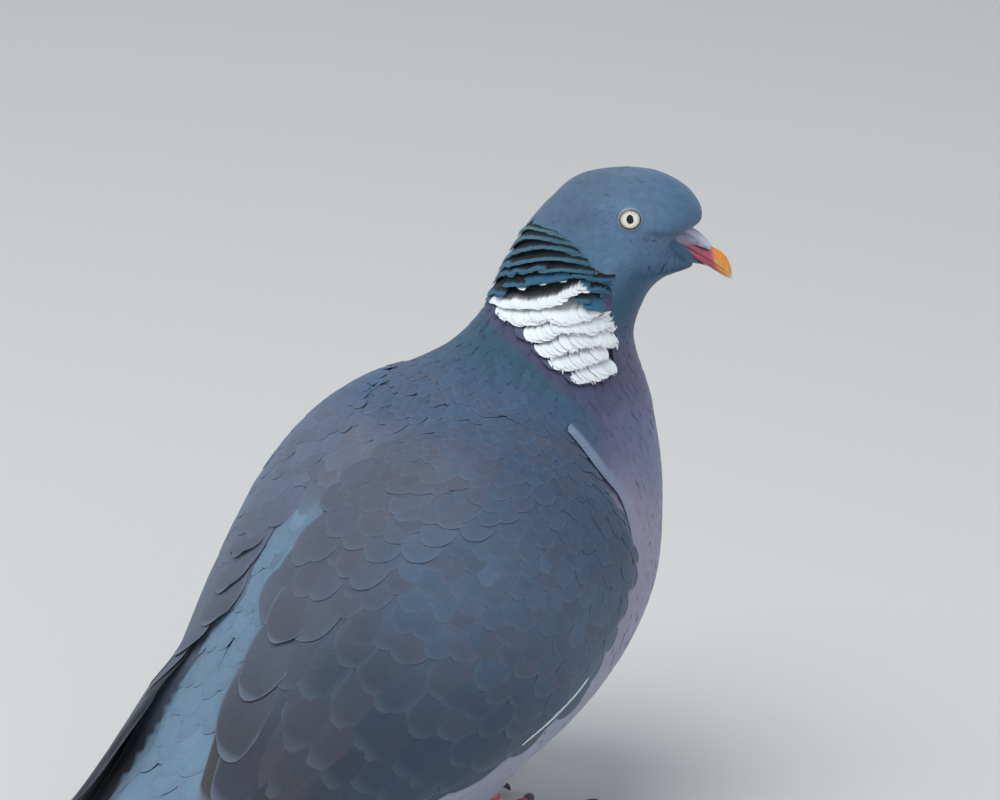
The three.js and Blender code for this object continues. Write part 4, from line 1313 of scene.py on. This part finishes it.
def line(positions, values):
    """A function that reads straight lines between these values."""
    return lambda n: np.interp(n, positions, values)


SCALE_LOOKS = dict(fringe=0.17, rim=0.72, spread=0.05, shaft=0.04, dark_tip=0.05, brown=0.35)
COVERT_SHAPE = vane_shape(9, 8, tip=0.42, arc=0.16, shoulder=0.55, dense=1.3)
covert_pitch = line([9.5, 10.5, 11.5, 12.3, 12.9, 13.6], [2.2, 2.9, 4.0, 6.0, 10.0, 13.0])
covert_spacing = line([9.5, 10.5, 11.5, 12.3, 12.9, 13.6], [3.2, 4.2, 5.6, 8.2, 12.0, 14.0])


def add_scales(coat, side, last, pitch, rows, widest, lengths, aims, form, **looks):
    """Broad smooth feathers in staggered rows, as far as the number last. form gives what raise_blades
    needs, by number and across.

    rows: the first number, the spacing and the two edges of the rows. widest: the largest half width, as a
    share of the spacing. lengths: their range, times the pitch. aims: their middle and spread."""
    first, spacing, low, high = rows
    number, across, width = quincunx(wings[side], first, last, pitch, spacing, low, high)
    count, exposed = len(number), pitch(number)
    form = form(number, across)
    number = number + chance.normal(0, 0.04, count)
    across = across + chance.normal(0, 0.012, count)
    length = exposed * chance.uniform(*lengths, count)
    half = width * chance.uniform(0.62, widest, count)
    lay_on_wing(coat, side, number, across, chance.normal(*aims, count), length, half, COVERT_SHAPE,
                wing_colour, 3, form, **SCALE_LOOKS, **looks)


def add_coverts(coat, side):
    """The small, middle and great coverts."""
    inner = line([10.8, 12.0, 13.0, 13.4], [0.0, 0.07, 0.1, 0.34])
    add_scales(coat, side, 14.0, covert_pitch, (9.6, covert_spacing, inner, lambda n: 0.985),
               0.76, (2.5, 3.1), (0, 0.10),
               lambda n, a: dict(sink=0.7, lift=0.10, thick=0.06, soft=0.92, cup=0.03, dip=0.12,
                                 roll=0.02, bow=2.2),
               dusk=0.03)


def add_under_coverts(coat, side):
    """Broad feathers below the coverts, which close the gaps between them."""
    number, across, width = quincunx(wings[side], 9.6, 13.2, lambda n: 0.5 * covert_pitch(n) + 1.5,
                                     lambda n: 0.8 * covert_spacing(n) + 1.0, lambda n: 0.27, lambda n: 0.94)
    lay_on_wing(coat, side, number, across, 0 * number, 2.2 * covert_pitch(number) + 2.0, 0.85 * width,
                vane_shape(5, 4, arc=0.2, shoulder=0.6), wing_colour, 3,
                dict(sink=0.9, lift=-0.22, thick=0.06, soft=0.92, cup=0.02, dip=0.05, bow=2.0), spread=0.02)


FLIGHT_SHAPE = vane_shape(18, 10, root=0.5, tip=0.40, arc=0.22, shoulder=0.62, dense=1.35)


def add_flight(coat, side, layer, first, tips, roots_across, tips_across, half, height, colour=wing_colour,
               **looks):
    """A run of long wing feathers from the number first to their tips, each a layer lower than the one
    before. roots_across and tips_across say where each starts and ends across the wing."""
    chart, steps = wings[side], np.linspace(0, 1, 24)
    for k, (tip, start, end, wide) in enumerate(zip(tips, roots_across, tips_across, half)):
        length = gaps(chart.place(lerp(first, tip, steps), lerp(start, end, steps))[0]).sum()
        scale = np.linalg.norm(chart.read(chart.across, lerp(first, tip, 0.5), start))
        aim = np.arctan2((end - start) * scale, length)
        lift = height - layer * (k - len(tips) / 2)
        number, across, aim, length, wide = (np.array([x], float) for x in (first, start, aim, length, wide))
        lay_on_wing(coat, side, number, across, aim, length, wide, FLIGHT_SHAPE, colour, 16,
                    dict(sink=1.6, lift=lift, thick=0.30, soft=0.55, cup=0.015, roll=-0.12), **looks)


TERTIAL_TIPS = {"right": [13.5, 14.1, 14.75, 15.2, 15.5, 15.75],
                "left": [12.9, 13.3, 13.65, 13.95, 14.2, 14.4]}


def plain(colour):
    """The same colour all over a wing feather."""
    return lambda number, across, side: colour * np.ones((*np.shape(number), 1))


def add_tertials(coat, side):
    """The long inner feathers of the wing, whose rounded tips stagger along its inner edge."""
    add_flight(coat, side, 0.22, 12.3, TERTIAL_TIPS[side], [0.14, 0.18, 0.22, 0.32, 0.44, 0.56],
               [0.11, 0.09, 0.06, 0.16, 0.36, 0.54], [8.5, 9.5, 11.0, 11.5, 10.5, 9.5], 0.45,
               fringe=0.45, rim=0.88, spread=0.07, shaft=0.05, dark_tip=0.20, brown=0.6, dusk=0.15)
    add_flight(coat, side, 0.20, 12.5, [15.9, 16.0, 15.9, 15.7, 15.4], [0.60, 0.68, 0.76, 0.84, 0.92],
               [0.62, 0.72, 0.80, 0.88, 0.95], [9.0, 8.5, 8.0, 7.5, 7.0], -0.1,
               fringe=0.45, rim=0.88, spread=0.08, shaft=0.05, dark_tip=0.3, dusk=0.25)
    if side == "right":
        add_flight(coat, side, 0.2, 13.2, [15.3], [0.16], [0.0], [8.0], -0.6, plain(OLIVE), fringe=0.7,
                   rim=0.90)


def add_primaries(coat, side):
    """Ten dark flight feathers, folded like a fan with the longest lowest."""
    k = np.arange(10)
    root, tip = {"right": (0.40, 0.36), "left": (0.18, 0.08)}[side]
    add_flight(coat, side, 0.30, 13.4, 15.9 + 2.0 * (k / 9) ** 0.8, root + 0.05 * k, tip + 0.05 * k,
               7.0 - 0.22 * k, -0.9, plain(PRIMARY), fringe=0.22, rim=0.93, spread=0.05, shaft=0.2)


def scapular_edge(n):
    """How far across the wing the scapulars reach."""
    return track([[9.8, 0.62], [10.6, 0.52], [11.2, 0.42], [11.6, 0.33], [12.0, 0.26], [12.5, 0.18],
                  [12.8, 0.13]], n)


def add_scapulars(coat, side):
    """Soft feathers from the shoulder, lying over the coverts and the roots of the tertials."""
    def form(number, across):
        edge = ramp(across / scapular_edge(number), 0.55, 0.95)
        settled = lerp(0.15, 1.0, ramp(number, 10.2, 11.4))
        inner = ramp(across, 0.16, 0.03) * ramp(number, 12.2, 11.2)
        return dict(sink=0.6, lift=(0.34 + 0.12 * edge) * settled - 0.5 * inner, thick=0.07, soft=0.90,
                    cup=0.022, dip=0.13, roll=0.03 + 0.06 * edge, bow=2.2)

    pitch = line([9.8, 11.0, 12.0, 13.0], [2.6, 4.0, 6.5, 10.0])
    spacing = line([9.8, 11.0, 12.0, 13.0], [3.8, 5.6, 8.5, 11.0])
    inner_edge = line([10.8, 11.8, 12.8], [0.0, 0.05, 0.07])
    add_scales(coat, side, 12.75, pitch, (9.9, spacing, inner_edge, scapular_edge), 0.80, (2.4, 3.0),
               (-0.05, 0.08), form)


def add_wing_edge(coat, side):
    """The white edge of the folded wing, showing as a thin line over the flank."""
    number = np.linspace(11.85, 12.5, 9)
    across, aim, length, half = (np.full(len(number), x) for x in (0.987, 0.0, 12.0, 0.65))
    lay_on_wing(coat, side, number, across, aim, length, half, vane_shape(8, 4, tip=0.6, arc=0.6),
                plain(WHITE), 4, dict(sink=0.5, lift=0.25, thick=0.25, soft=0.5, cup=0.05))


# ---- Tail ----

TAIL_FIRST, TAIL_LAST = 15.4, 20.9


def tail_surface(up):
    """The upper (1) or under (-1) face of the folded tail; across runs from -1 to 1."""
    def point(number, across):
        number, across = np.broadcast_arrays(number, across)
        y0, z0, tilt, front, back, half = np.moveaxis(sections_at(WHOLE, number)[..., :6], -1, 0)
        reach = np.where(up > 0, back, -front) * (1 - 0.75 * np.abs(across) ** 2.6)
        tilt = np.radians(tilt)
        points = np.stack([half * across, y0 + reach * np.cos(tilt), z0 + reach * np.sin(tilt)], -1) + SHIFT
        return above_floor(points, 0.4)

    def roots(number, across):
        return np.stack([0.5 + 0.3 * across, 0.25 + 0.5 * (up < 0) + 0 * across], -1)

    return Chart(point, TAIL_FIRST, TAIL_LAST, 200, 81, roots, -1.05, 1.05, up)


def tail_colour(number, up):
    """Colour of the tail feathers: grey with a dark end above, and a pale band across them below."""
    if up > 0:
        return paint(RUMP, (TAIL_GREY, ramp(number, 16.4, 17.4)), (TAIL_DARK, ramp(number, 18.9, 19.5)))
    return paint(UNDER_TAIL, (TAIL_DARK, ramp(number, 17.2, 17.8)), (TAIL_PALE, ramp(number, 18.5, 18.8)),
                 (TAIL_DARK, ramp(number, 19.6, 19.9)))


tail_charts = {up: tail_surface(up) for up in (1.0, -1.0)}


def add_tail(coat):
    """Twelve tail feathers, the middle pair uppermost, each seen from above and from below."""
    shape = vane_shape(20, 8, root=0.4, tip=0.8, arc=0.35, shoulder=0.7, dense=1.2)
    for up, k, sign in product((1.0, -1.0), range(6), (-1.0, 1.0)):
        chart = tail_charts[up]
        across, start, tip = sign * (0.06 + 0.125 * k), TAIL_FIRST + 0.3, 20.86 - 0.012 * k ** 2
        length = gaps(chart.place(np.linspace(start, tip, 30), np.full(30, across))[0]).sum()
        layer = 0.16 * (3 - k) * up - (0.35 if up > 0 else 0.15)
        one = (np.array([x]) for x in (start, across, 0.02 * sign * k, length, 9.5 - 0.3 * k))
        lay(coat, chart, *one, shape, lambda n, a: tail_colour(n, up),
            dict(sink=0.6 - layer, lift=layer, thick=0.30, soft=0.5, cup=0.02, roll=0.05 * sign * up),
            TUFT_PATCH * 16, floor=0.02, fringe=0.10, rim=0.9, shaft=0.15, spread=0.03)


# ---- Bill ----

BILL_TOP = [[-16, -0.2], [-21, -1.2], [-24.5, -2.5], [-27.6, -5.2], [-30.3, -7.7],
            [-32.8, -9.2], [-34.8, -11.4], [-35.9, -14.4], [-36.3, -17.2]]
BILL_MOUTH = [[-16, -3.2], [-18, -4.1], [-22.5, -7.1], [-26.8, -9.9], [-31.4, -13.1],
              [-34.2, -15.4], [-36.3, -17.9]]
BILL_BOTTOM = [[-16, -7.2], [-20, -9.0], [-24, -11.0], [-27.9, -12.9], [-31.2, -15.0],
               [-33.6, -16.6], [-36.3, -18.2]]
BILL_HALF = [[-16, 6.4], [-18, 5.8], [-22, 4.5], [-26, 3.5], [-30, 2.8], [-33, 2.2], [-35.3, 1.3],
             [-36.3, 0.5]]
LOWER_TIP_Y = -35.4
CERE_PALE, CERE_GREY, CERE_ROSE = linear(196, 200, 216), linear(150, 150, 172), linear(150, 112, 136)
BILL_MIDDLE, BILL_ORANGE, BILL_YELLOW = linear(196, 92, 108), linear(238, 150, 66), linear(214, 176, 112)
BILL_TIP, NOSTRIL = linear(238, 214, 196), linear(88, 16, 36)


def along_y(line, y):
    """Reads a bill line, whose y falls towards the tip."""
    return track([[-a, b] for a, b in line], -np.asarray(y, float))


bill_top, bill_bottom, bill_half = (partial(along_y, line) for line in (BILL_TOP, BILL_BOTTOM, BILL_HALF))


def by_length(line, count, end_y=-np.inf):
    """Evenly spaced points on a smooth line through [y, z] points, as far as end_y."""
    line, knots = np.array(line, float), np.arange(len(line))
    fine = np.linspace(0, len(line) - 1, 400)
    path = np.stack([track(np.c_[knots, line[:, k]], fine) for k in (0, 1)], -1)
    path = path[path[:, 0] >= end_y]
    run = runs(path)
    at = np.linspace(0, run[-1], count)
    return np.stack([np.interp(at, run, path[:, k]) for k in (0, 1)], -1)


def half_bill(outer, mouth, sign, columns, shrink=1.0):
    """A mandible between its outline and the mouth line. sign is 1 for the upper, -1 for the lower."""
    k = np.linspace(0, np.pi, columns)
    half = (bill_half((outer[:, 0] + mouth[:, 0]) / 2) * shrink)[:, None]
    rise = np.sin(k) ** 0.8
    side = lerp(mouth[:, None], outer[:, None], rise[:, None])
    arch = np.concatenate([(half * np.cos(k) * (1 - 0.10 * rise))[..., None], side], -1)
    across = np.linspace(-1, 1, columns)[1:-1]
    dish = 0.25 * (1 - across ** 2) * sign
    floor = np.stack([half * across, mouth[:, :1] + 0 * across, mouth[:, 1:] + dish], -1)
    return np.concatenate([arch, floor], 1)


def closed_tube(rings):
    """Points and faces of a tube of rings, closed at both ends."""
    rows, columns = rings.shape[:2]
    points = np.concatenate([rings.reshape(-1, 3), rings[:1].mean(1), rings[-1:].mean(1)])
    last, first_ring = rows * columns, np.arange(columns)
    faces = [grid_faces(rows, columns, wrap=True), fan_faces(last, first_ring, flip=True),
             fan_faces(last + 1, first_ring + last - columns)]
    return points, np.concatenate(faces)


def joined(parts):
    """Several (points, faces, ...) as one; further arrays run with the points."""
    points, faces, *rest = zip(*parts)
    starts = np.cumsum([0, *map(len, points)])
    faces = [np.where(f >= 0, f + start, f) for f, start in zip(faces, starts)]
    return tuple(np.concatenate(x) for x in (points, faces, *rest))


def make_solid(name, points, faces, material, colours=None, node=None):
    """A closed piece with all its faces outward, in place of a CAD node where one is named."""
    piece = make_piece(name, points, faces, material, colours=colours)
    mesh = bmesh.new()
    mesh.from_mesh(piece.data)
    bmesh.ops.recalc_face_normals(mesh, faces=mesh.faces)
    mesh.to_mesh(piece.data)
    mesh.free()
    if node:
        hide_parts(node)


def circle(count):
    """Angles evenly round a circle."""
    return np.linspace(0, 2 * np.pi, count, endpoint=False)


def ellipsoid(centre, radii, ahead, rows=14, columns=20):
    """An ellipsoid whose second radius lies along `ahead`, a direction in the y-z plane."""
    t, k = np.linspace(0.06, np.pi - 0.06, rows)[:, None], circle(columns)[None, :]
    ahead = unit(np.array([0, *ahead], float))
    axes = [1, 0, 0], ahead, np.cross([1.0, 0, 0], ahead)
    reach = radii[0] * np.sin(t) * np.cos(k), radii[1] * np.cos(t) + 0 * k, radii[2] * np.sin(t) * np.sin(k)
    return closed_tube(np.array(centre) + sum(r[..., None] * axis for r, axis in zip(reach, axes)))


def bill_colour(points):
    """Colour of the bill: rose at its root, then crimson, orange, and a pale tip."""
    x, y, z = points.T
    from_mouth = z - along_y(BILL_MOUTH, y)
    mottle = np.sin(y * 3.1 + z * 2.3) * np.sin(x * 2.7 + z * 1.9)
    return (1 + 0.06 * mottle)[:, None] * paint(
        BILL_MIDDLE,
        (BILL_ORANGE, ramp(y + 0.35 * (bill_top(y) - z), -28.6, -30.6)),
        (BILL_YELLOW, 0.75 * ramp(np.abs(from_mouth - 0.8), 1.5, 0.4) * ramp(y, -29.5, -31.5)),
        (CERE_ROSE, 0.75 * ramp(y, -26.0, -23.0)),
        (CERE_GREY * 0.8, 0.85 * ramp(y, -22.5, -19.5)),
        (CERE_ROSE * 0.6, 0.6 * ramp(np.abs(from_mouth), 0.6, 0.1) * ramp(y, -31.0, -28.0)),
        (BILL_TIP, ramp(z, -15.8, -17.2) * 0.9))


def make_bill():
    """The two mandibles, each between its own outline and the mouth."""
    rows, columns = 44, 25
    upper = half_bill(by_length(BILL_TOP, rows), by_length(BILL_MOUTH, rows), 1, columns)
    mouth = by_length([[y, z - 0.12] for y, z in BILL_MOUTH], rows, LOWER_TIP_Y)
    lower = half_bill(by_length(BILL_BOTTOM, rows, LOWER_TIP_Y), mouth, -1, columns, 0.98)
    lower[:, :, 0] *= np.linspace(1, 0.95, rows)[:, None]
    for part, rings in (("upper", upper), ("lower", lower)):
        points, faces = closed_tube(rings)
        make_solid(f"bill_{part}_horn", from_head(points), faces, horn_material("bill_horn", 0.38),
                   bill_colour(points), f"bill_{part}")


# Each lobe of the cere: its place to one side, its radii and the way it points.
CERE_LOBES = [((1.75, -24.9, -5.0), (2.45, 5.9, 2.4), (-0.80, -0.60)),
              ((2.8, -20.4, -4.3), (2.9, 5.4, 2.2), (-0.95, -0.30))]
NOSTRIL_SLIT = ((3.2, -26.0, -7.0), (0.75, 3.3, 0.46), (-0.90, -0.43), 10, 12)


def both_sides(*lobes):
    """Ellipsoids to the right and to the left, as one."""
    return joined([ellipsoid((sign * centre[0], *centre[1:]), *rest)
                   for sign in SIDES.values() for centre, *rest in lobes])


def make_cere():
    """The swollen pale skin over the root of the bill, and the slits of the nostrils."""
    points, faces = both_sides(*CERE_LOBES)
    x, y, z = points.T
    warts = np.sin(y * 4.3) * np.sin(z * 5.1 + x * 3.7)
    points = points + 0.07 * warts[:, None] * np.sign(points[:, :1]) * [1, 0, 0]
    x, y, z = points.T
    high = z - along_y(BILL_MOUTH, y)
    # The crest is paler: its heavier powder, and a painted highlight along its top.
    crest_powder_and_highlight = ramp(bill_top(y) - z, 1.9, 0.5)
    powder = 0.5 + 0.5 * np.sin(y * 5.3 + x * 2.0) * np.sin(z * 4.7)
    colours = paint(
        CERE_GREY,
        (CERE_ROSE, ramp(high, 3.2, 1.8) * lerp(0.15, 1.0, ramp(y, -20.5, -25.0))),
        (BILL_MIDDLE, 0.6 * ramp(high, 2.2, 1.0) * ramp(y, -20.0, -23.0)),
        (CERE_PALE, np.clip(0.9 * crest_powder_and_highlight + 0.35 * powder * ramp(high, 2.0, 4.0), 0, 1)),
        (CHEEK * 0.85, 0.8 * ramp(y + 0.5 * high, -18.3, -16.3)))
    make_solid("cere_flesh", from_head(points), faces, horn_material("cere_skin", 0.8),
               colours, "cere")
    points, faces = both_sides(NOSTRIL_SLIT)
    make_solid("nostrils", from_head(points), faces, horn_material("nostril", 0.6),
               NOSTRIL + 0 * points)


# ---- Eyes ----

IRIS, IRIS_EDGE, PUPIL = linear(246, 245, 226), linear(170, 170, 142), linear(3, 3, 4)
LID_RIM, LID_RING = linear(34, 36, 42), linear(146, 150, 162)
IRIS_RADIUS, LID_OPENING, LID_OUTER = 3.35, (3.12, 2.85), 6.4
CORNEA_RADIUS, CORNEA_RISE = 3.6, 0.6
PUPIL_RADII = (1.1, 1.42)
BALL_RADIUS, BALL_OUT = 4.7, 0.6               # the ball behind the lids, and how far out its centre is
BALL_RIM, PUPIL_DEPTH = 4.6, 0.9
RAY_START = 30.0                               # how far out the search for the skin round the eye starts


def from_eye(sign, out, r, turn):
    """A place r from the eye's axis and `out` to the side; turn is 0 to the front and a quarter turn up."""
    x = sign * (EYE_SIDE + BALL_OUT + out) + 0 * r
    return from_head(np.stack([x, EYE_Y - r * np.cos(turn), EYE_Z + r * np.sin(turn)], -1))


def make_eye(side):
    """The eyeball with its flat iris and hollow pupil, and a clear cornea over it."""
    sign, turn = SIDES[side], circle(64)
    shares = np.r_[0.04, np.linspace(0.3, 1.0, 5), np.linspace(1.06, 2.2, 18)]
    wide, tall = PUPIL_RADII
    pupil = wide * tall / np.hypot(tall * np.cos(turn), wide * np.sin(turn))
    pupil = pupil + 0.3 * np.maximum(np.cos(turn + 1.0), 0) ** 3
    inner = shares[:, None] * pupil
    r = np.concatenate([inner, np.linspace(0, 1, 10)[1:, None] * (BALL_RIM - inner[-1:]) + inner[-1:]])
    turn = turn + 0 * r
    ball = np.sqrt(np.maximum(BALL_RADIUS ** 2 - r ** 2, 0.05))
    flat = np.sqrt(BALL_RADIUS ** 2 - IRIS_RADIUS ** 2) + 0.28 * (1 - (r / IRIS_RADIUS) ** 2)
    hole = np.concatenate([ramp(shares, 1.03, 0.75), np.zeros(9)])[:, None] + 0 * r
    depth = np.where(r < IRIS_RADIUS, np.minimum(ball, flat), ball) - PUPIL_DEPTH * hole
    streak = 1 + 0.05 * np.sin(turn * 23 + 2 * np.sin(turn * 5)) * ramp(r, 1.4, 2.2)
    colour = paint(IRIS * streak[..., None], (IRIS_EDGE, ramp(r, 2.5, 3.2) * 0.7),
                   (PUPIL, ramp(hole, 0.0, 0.35)), (LID_RIM, ramp(r, 3.15, 3.45)))
    points, faces = closed_tube(from_eye(sign, depth, r, turn))
    iris = bare_material("iris", roughness=0.3, specular=0.35, cloud=(2600.0, 3.0, 0.93, 1.05))
    make_solid(f"eye_iris_{side}", points, faces, iris,
               np.concatenate([colour.reshape(-1, 3), [PUPIL, LID_RIM]]), f"eye_{side}")
    r = np.linspace(0.02, 1, 14)[:, None] * CORNEA_RADIUS + np.zeros((1, 48))
    turn = circle(48) + 0 * r
    bulge = np.sqrt(BALL_RADIUS ** 2 - r ** 2) + CORNEA_RISE * (1 - (r / CORNEA_RADIUS) ** 2) ** 1.3 + 0.02
    rim = from_eye(sign, bulge[-1:] - 0.5, r[-1:], turn[-1:])
    points, faces = closed_tube(np.concatenate([from_eye(sign, bulge, r, turn), rim]))
    make_solid(f"eye_cornea_{side}", points, faces, cornea_material())


def cornea_material():
    """A clear wet film: see-through, with a gloss that grows towards its edges."""
    s = Shader("cornea")
    s.tree.nodes.remove(s.surface)
    clear = s.node("BsdfTransparent")
    gloss = s.node("BsdfGlossy", Roughness=0.03)
    film = s.node("MixShader", i0=s.node("Fresnel", IOR=1.24), i1=clear, i2=gloss)
    s.feed(s.tree.nodes["Material Output"].inputs["Surface"], film)
    return s.material


def lid_rings():
    """The bare lids round both eyes, which join the skin."""
    share, turn = np.r_[-0.10, -0.05, np.linspace(0, 1, 20)], circle(72)
    wide, tall = LID_OPENING
    opening = wide * tall / np.sqrt((tall * np.cos(turn)) ** 2 + (wide * np.sin(turn)) ** 2)
    r = opening + share[:, None] * (LID_OUTER - opening)
    turn, away = turn + 0 * r, r - opening
    ball = np.sqrt(np.maximum(BALL_RADIUS ** 2 - r ** 2, 0.1))
    edge = ball + 0.34 * np.exp(-((away - 0.28) / 0.30) ** 2) + 0.05
    edge = np.where(away < 0, ball - 0.25 + away * 1.5, edge)
    colour = paint(LID_RIM, (LID_RING, ramp(away, 0.08, 0.24)), (CHEEK * 0.95, ramp(away, 0.42, 0.75)))
    around = 0.02 * np.stack([np.cos(turn), np.sin(turn)], -1) * r[..., None] / LID_OUTER
    parts = []
    for sign in SIDES.values():
        start = from_eye(sign, RAY_START, r, turn).reshape(-1, 3)
        aim = unit(from_eye(sign, 0.0, r, turn).reshape(-1, 3) - start)
        hits = [head_tree.ray_cast(Vector(a), Vector(b))[3] for a, b in zip(start, aim)]
        skin = RAY_START - np.array(hits).reshape(r.shape)
        depth = lerp(edge, skin - 0.10, ramp(away, 0.35, 1.1))
        depth = np.maximum(depth, np.where(away > 0.3, ball + 0.15, -9))
        points = from_eye(sign, depth - 1.2 * ramp(away, 1.3, 3.0), r, turn).reshape(-1, 3)
        faces = grid_faces(*r.shape, wrap=True)
        unwrap = (around + [0.5 + 0.25 * sign, 0.17]).reshape(-1, 2)
        parts.append((points, faces[:, ::-1] if sign > 0 else faces, colour.reshape(-1, 3), unwrap))
    return joined(parts)


# ---- Legs ----

LEG = {"side": 20.0, "ankle_y": 72.0, "ankle_z": 34.0, "foot_y": 57.0, "foot_z": 7.5}
# Each toe: its name, its length, how far it turns from the front in degrees, and its claw's length.
TOES = [("inner", 24.0, -28.0, 7.0), ("middle", 32.0, 4.0, 8.0), ("outer", 26.0, 34.0, 7.0),
        ("hind", 16.0, 176.0, 7.0)]
LEG_RED, LEG_PALE, CLAW = linear(176, 88, 100), linear(222, 184, 186), linear(78, 65, 67)
CLAW_ROOT_GAP = 0.5
SHANK_RADII = [[0, 3.4], [0.5, 2.6], [1, 3.6]]
KNUCKLE_Z, KNUCKLE_RADII = 5.2, (4.3, 4.3, 3.9)
# Along a toe and along a claw: share of its length and height, and thickness by share. A claw also starts
# a little back, inside its toe.
TOE_LINE = [(0, 5.6), (0.22, 4.6), (0.5, 3.0), (0.8, 2.6), (1, 2.7)]
TOE_RADII = [[0, 3.3], [0.2, 3.0], [0.35, 2.6], [0.5, 3.0], [0.65, 2.4], [0.8, 2.7], [1, 1.8]]
CLAW_LINE = [(-1.2, 0, 2.6), (0, 0, 2.7), (0, 0.45, 3.2), (0, 0.8, 2.2), (0, 1, 0.5)]
CLAW_RADII = [[0, 1.5], [0.22, 1.5], [0.5, 1.25], [0.84, 0.75], [1, 0.25]]


def limb(path, radii, sides, steps, scutes=0.0):
    """A tapering limb on a smooth line. scutes is the length of its overlapping scales, in millimetres."""
    t, keys = np.linspace(0, 1, steps + 1), np.arange(len(path))
    path = np.array(path, float)
    centre = np.stack([track(np.c_[keys, path[:, k]], t * keys[-1]) for k in range(3)], -1)
    ahead = unit(np.gradient(centre, axis=0))
    side = unit(np.stack([-ahead[:, 1], ahead[:, 0], 0 * t], -1))
    up = np.cross(ahead, side)
    k = circle(sides)[None, :]
    radius = track(radii, t)[:, None] * np.ones((1, sides))
    pale = np.zeros_like(radius)
    if scutes:
        scales = (runs(centre) / scutes)[:, None]
        phase = scales % 1.0
        high = np.sin(k) * np.sign(up[:, 2:3] + 1e-6)
        top, pads = ramp(high, -0.2, 0.4), ramp(-high, 0.0, 0.6)
        radius = radius * (1 + top * (0.07 * phase - 0.03)) + 0.18 * pads * np.sin(phase * np.pi)
        seams = ramp(np.abs(np.sin(4 * k + 2.5 * np.floor(scales))), 0.28, 0.08) * (1 - top)
        pale = np.maximum(ramp(np.abs(phase - 0.5), 0.36, 0.48) * (0.45 + 0.55 * top), 0.7 * seams)
    ring = centre[:, None] + side[:, None] * (radius * np.cos(k))[..., None]
    ring = ring + up[:, None] * (radius * np.sin(k))[..., None]
    ring[..., 2] = np.maximum(ring[..., 2], 0.05)
    return *closed_tube(ring + SHIFT), np.concatenate([pale.ravel(), [pale[0].mean(), pale[-1].mean()]])


def toe_points(sign, aim, stops):
    """Points along a toe's line, from distances out from the foot's middle and heights."""
    aim = np.radians(aim)
    return [[sign * (LEG["side"] + np.sin(aim) * d), LEG["foot_y"] - np.cos(aim) * d, z] for d, z in stops]


def make_leg(side):
    """One leg: its shank, its toes on a round knuckle, and a claw on each toe."""
    sign = SIDES[side]
    foot = np.array([sign * LEG["side"], LEG["foot_y"], LEG["foot_z"] - 2])
    heel = np.array([sign * (LEG["side"] + 1), LEG["ankle_y"], LEG["ankle_z"]])
    horn = horn_material("claw_horn", 0.35)
    red = bare_material("leg_skin", roughness=0.55, specular=0.35, cloud=(700.0, 4.0, 0.82, 1.12),
                        pores=(1500.0, 3.0, 0.35, 0.0003), glow=(0.1, (0.002, 0.001, 0.0008)))
    middle = (foot + heel) / 2 + [0, -3, 1.5]
    shank = limb([foot, middle, heel], SHANK_RADII, sides=28, steps=90, scutes=2.3)
    knuckle = np.array([sign * LEG["side"], LEG["foot_y"], KNUCKLE_Z]) + SHIFT
    knuckle = ellipsoid(knuckle, KNUCKLE_RADII, ahead=(1, 0), rows=20, columns=24)
    parts = []
    for name, length, aim, claw in TOES:
        stops = [(length * share, z) for share, z in TOE_LINE]
        toe = toe_points(sign, aim, stops)
        parts.append(limb(toe, TOE_RADII, sides=24, steps=int(length * 3), scutes=1.9))
        stops = [(length + CLAW_ROOT_GAP + back + claw * share, z) for back, share, z in CLAW_LINE]
        points, faces, _ = limb(toe_points(sign, aim, stops), CLAW_RADII, sides=16, steps=20)
        make_solid(f"claw_{name}_horn_{side}", points, faces, horn, CLAW + 0 * points,
                   f"claw_{name}_{side}")
    parts.append((*knuckle, np.zeros(len(knuckle[0]))))
    for name, parts in (("foot", parts), ("tarsus", [shank])):
        points, faces, pale = joined(parts)
        make_solid(f"{name}_skin_{side}", points, faces, red, tint(LEG_RED, LEG_PALE, pale * 0.8),
                   f"{name}_{side}")


# ---- The bird ----

def make_coat(name, material, slot, *fillers):
    """One piece of plumage, from the functions that add its feathers in turn."""
    coat = Coat()
    for fill in fillers:
        fill(coat)
    coat.make(name, material)


def make_bird():
    """Skin and lids as one piece, the coats of feathers, and then eyes, legs, bill and cere."""
    plumage = plumage_material("plumage")
    velvet = plumage_material("head_plumage", barbs=0.6, roughness=0.7, sheen=0.3)
    points, faces, colours, unwrap = joined([make_skin(), lid_rings()])
    maps = {"OFBake": unwrap, "vane": unwrap * 40}
    skin = make_piece("skin", points, faces, plumage, colours=colours, maps=maps)
    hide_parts("head", "neck", "trunk", "tail", "thigh_left", "thigh_right",
                "wing_left", "wing_right", "primaries_left", "primaries_right")
    make_coat("head_feathers", velvet, "head_feathers", add_head_tufts, add_chin_tufts)
    make_coat("collar_feathers", plumage, "neck_feathers", add_collar)
    make_coat("neck_feathers", velvet, "neck_feathers", add_neck)
    make_coat("breast_feathers", velvet, "body_feathers", add_breast, add_bend)
    make_coat("belly_feathers", velvet, "body_feathers", add_belly)
    make_coat("back_feathers", plumage, "body_feathers", add_mantle, add_rump)
    make_coat("tail_feathers", plumage, "tail_feathers", add_tail)
    tracts = (("primaries", add_primaries), ("flight_feathers", add_tertials),
              ("wing_coverts", add_under_coverts, add_coverts, add_wing_edge), ("scapulars", add_scapulars))
    for side in SIDES:
        for name, *fillers in tracts:
            fillers = [partial(fill, side=side) for fill in fillers]
            make_coat(f"{name}_{side}", plumage, "wing_feathers", *fillers)
        make_eye(side)
        make_leg(side)
    make_bill()
    make_cere()


make_camera()
make_studio()
make_bird()
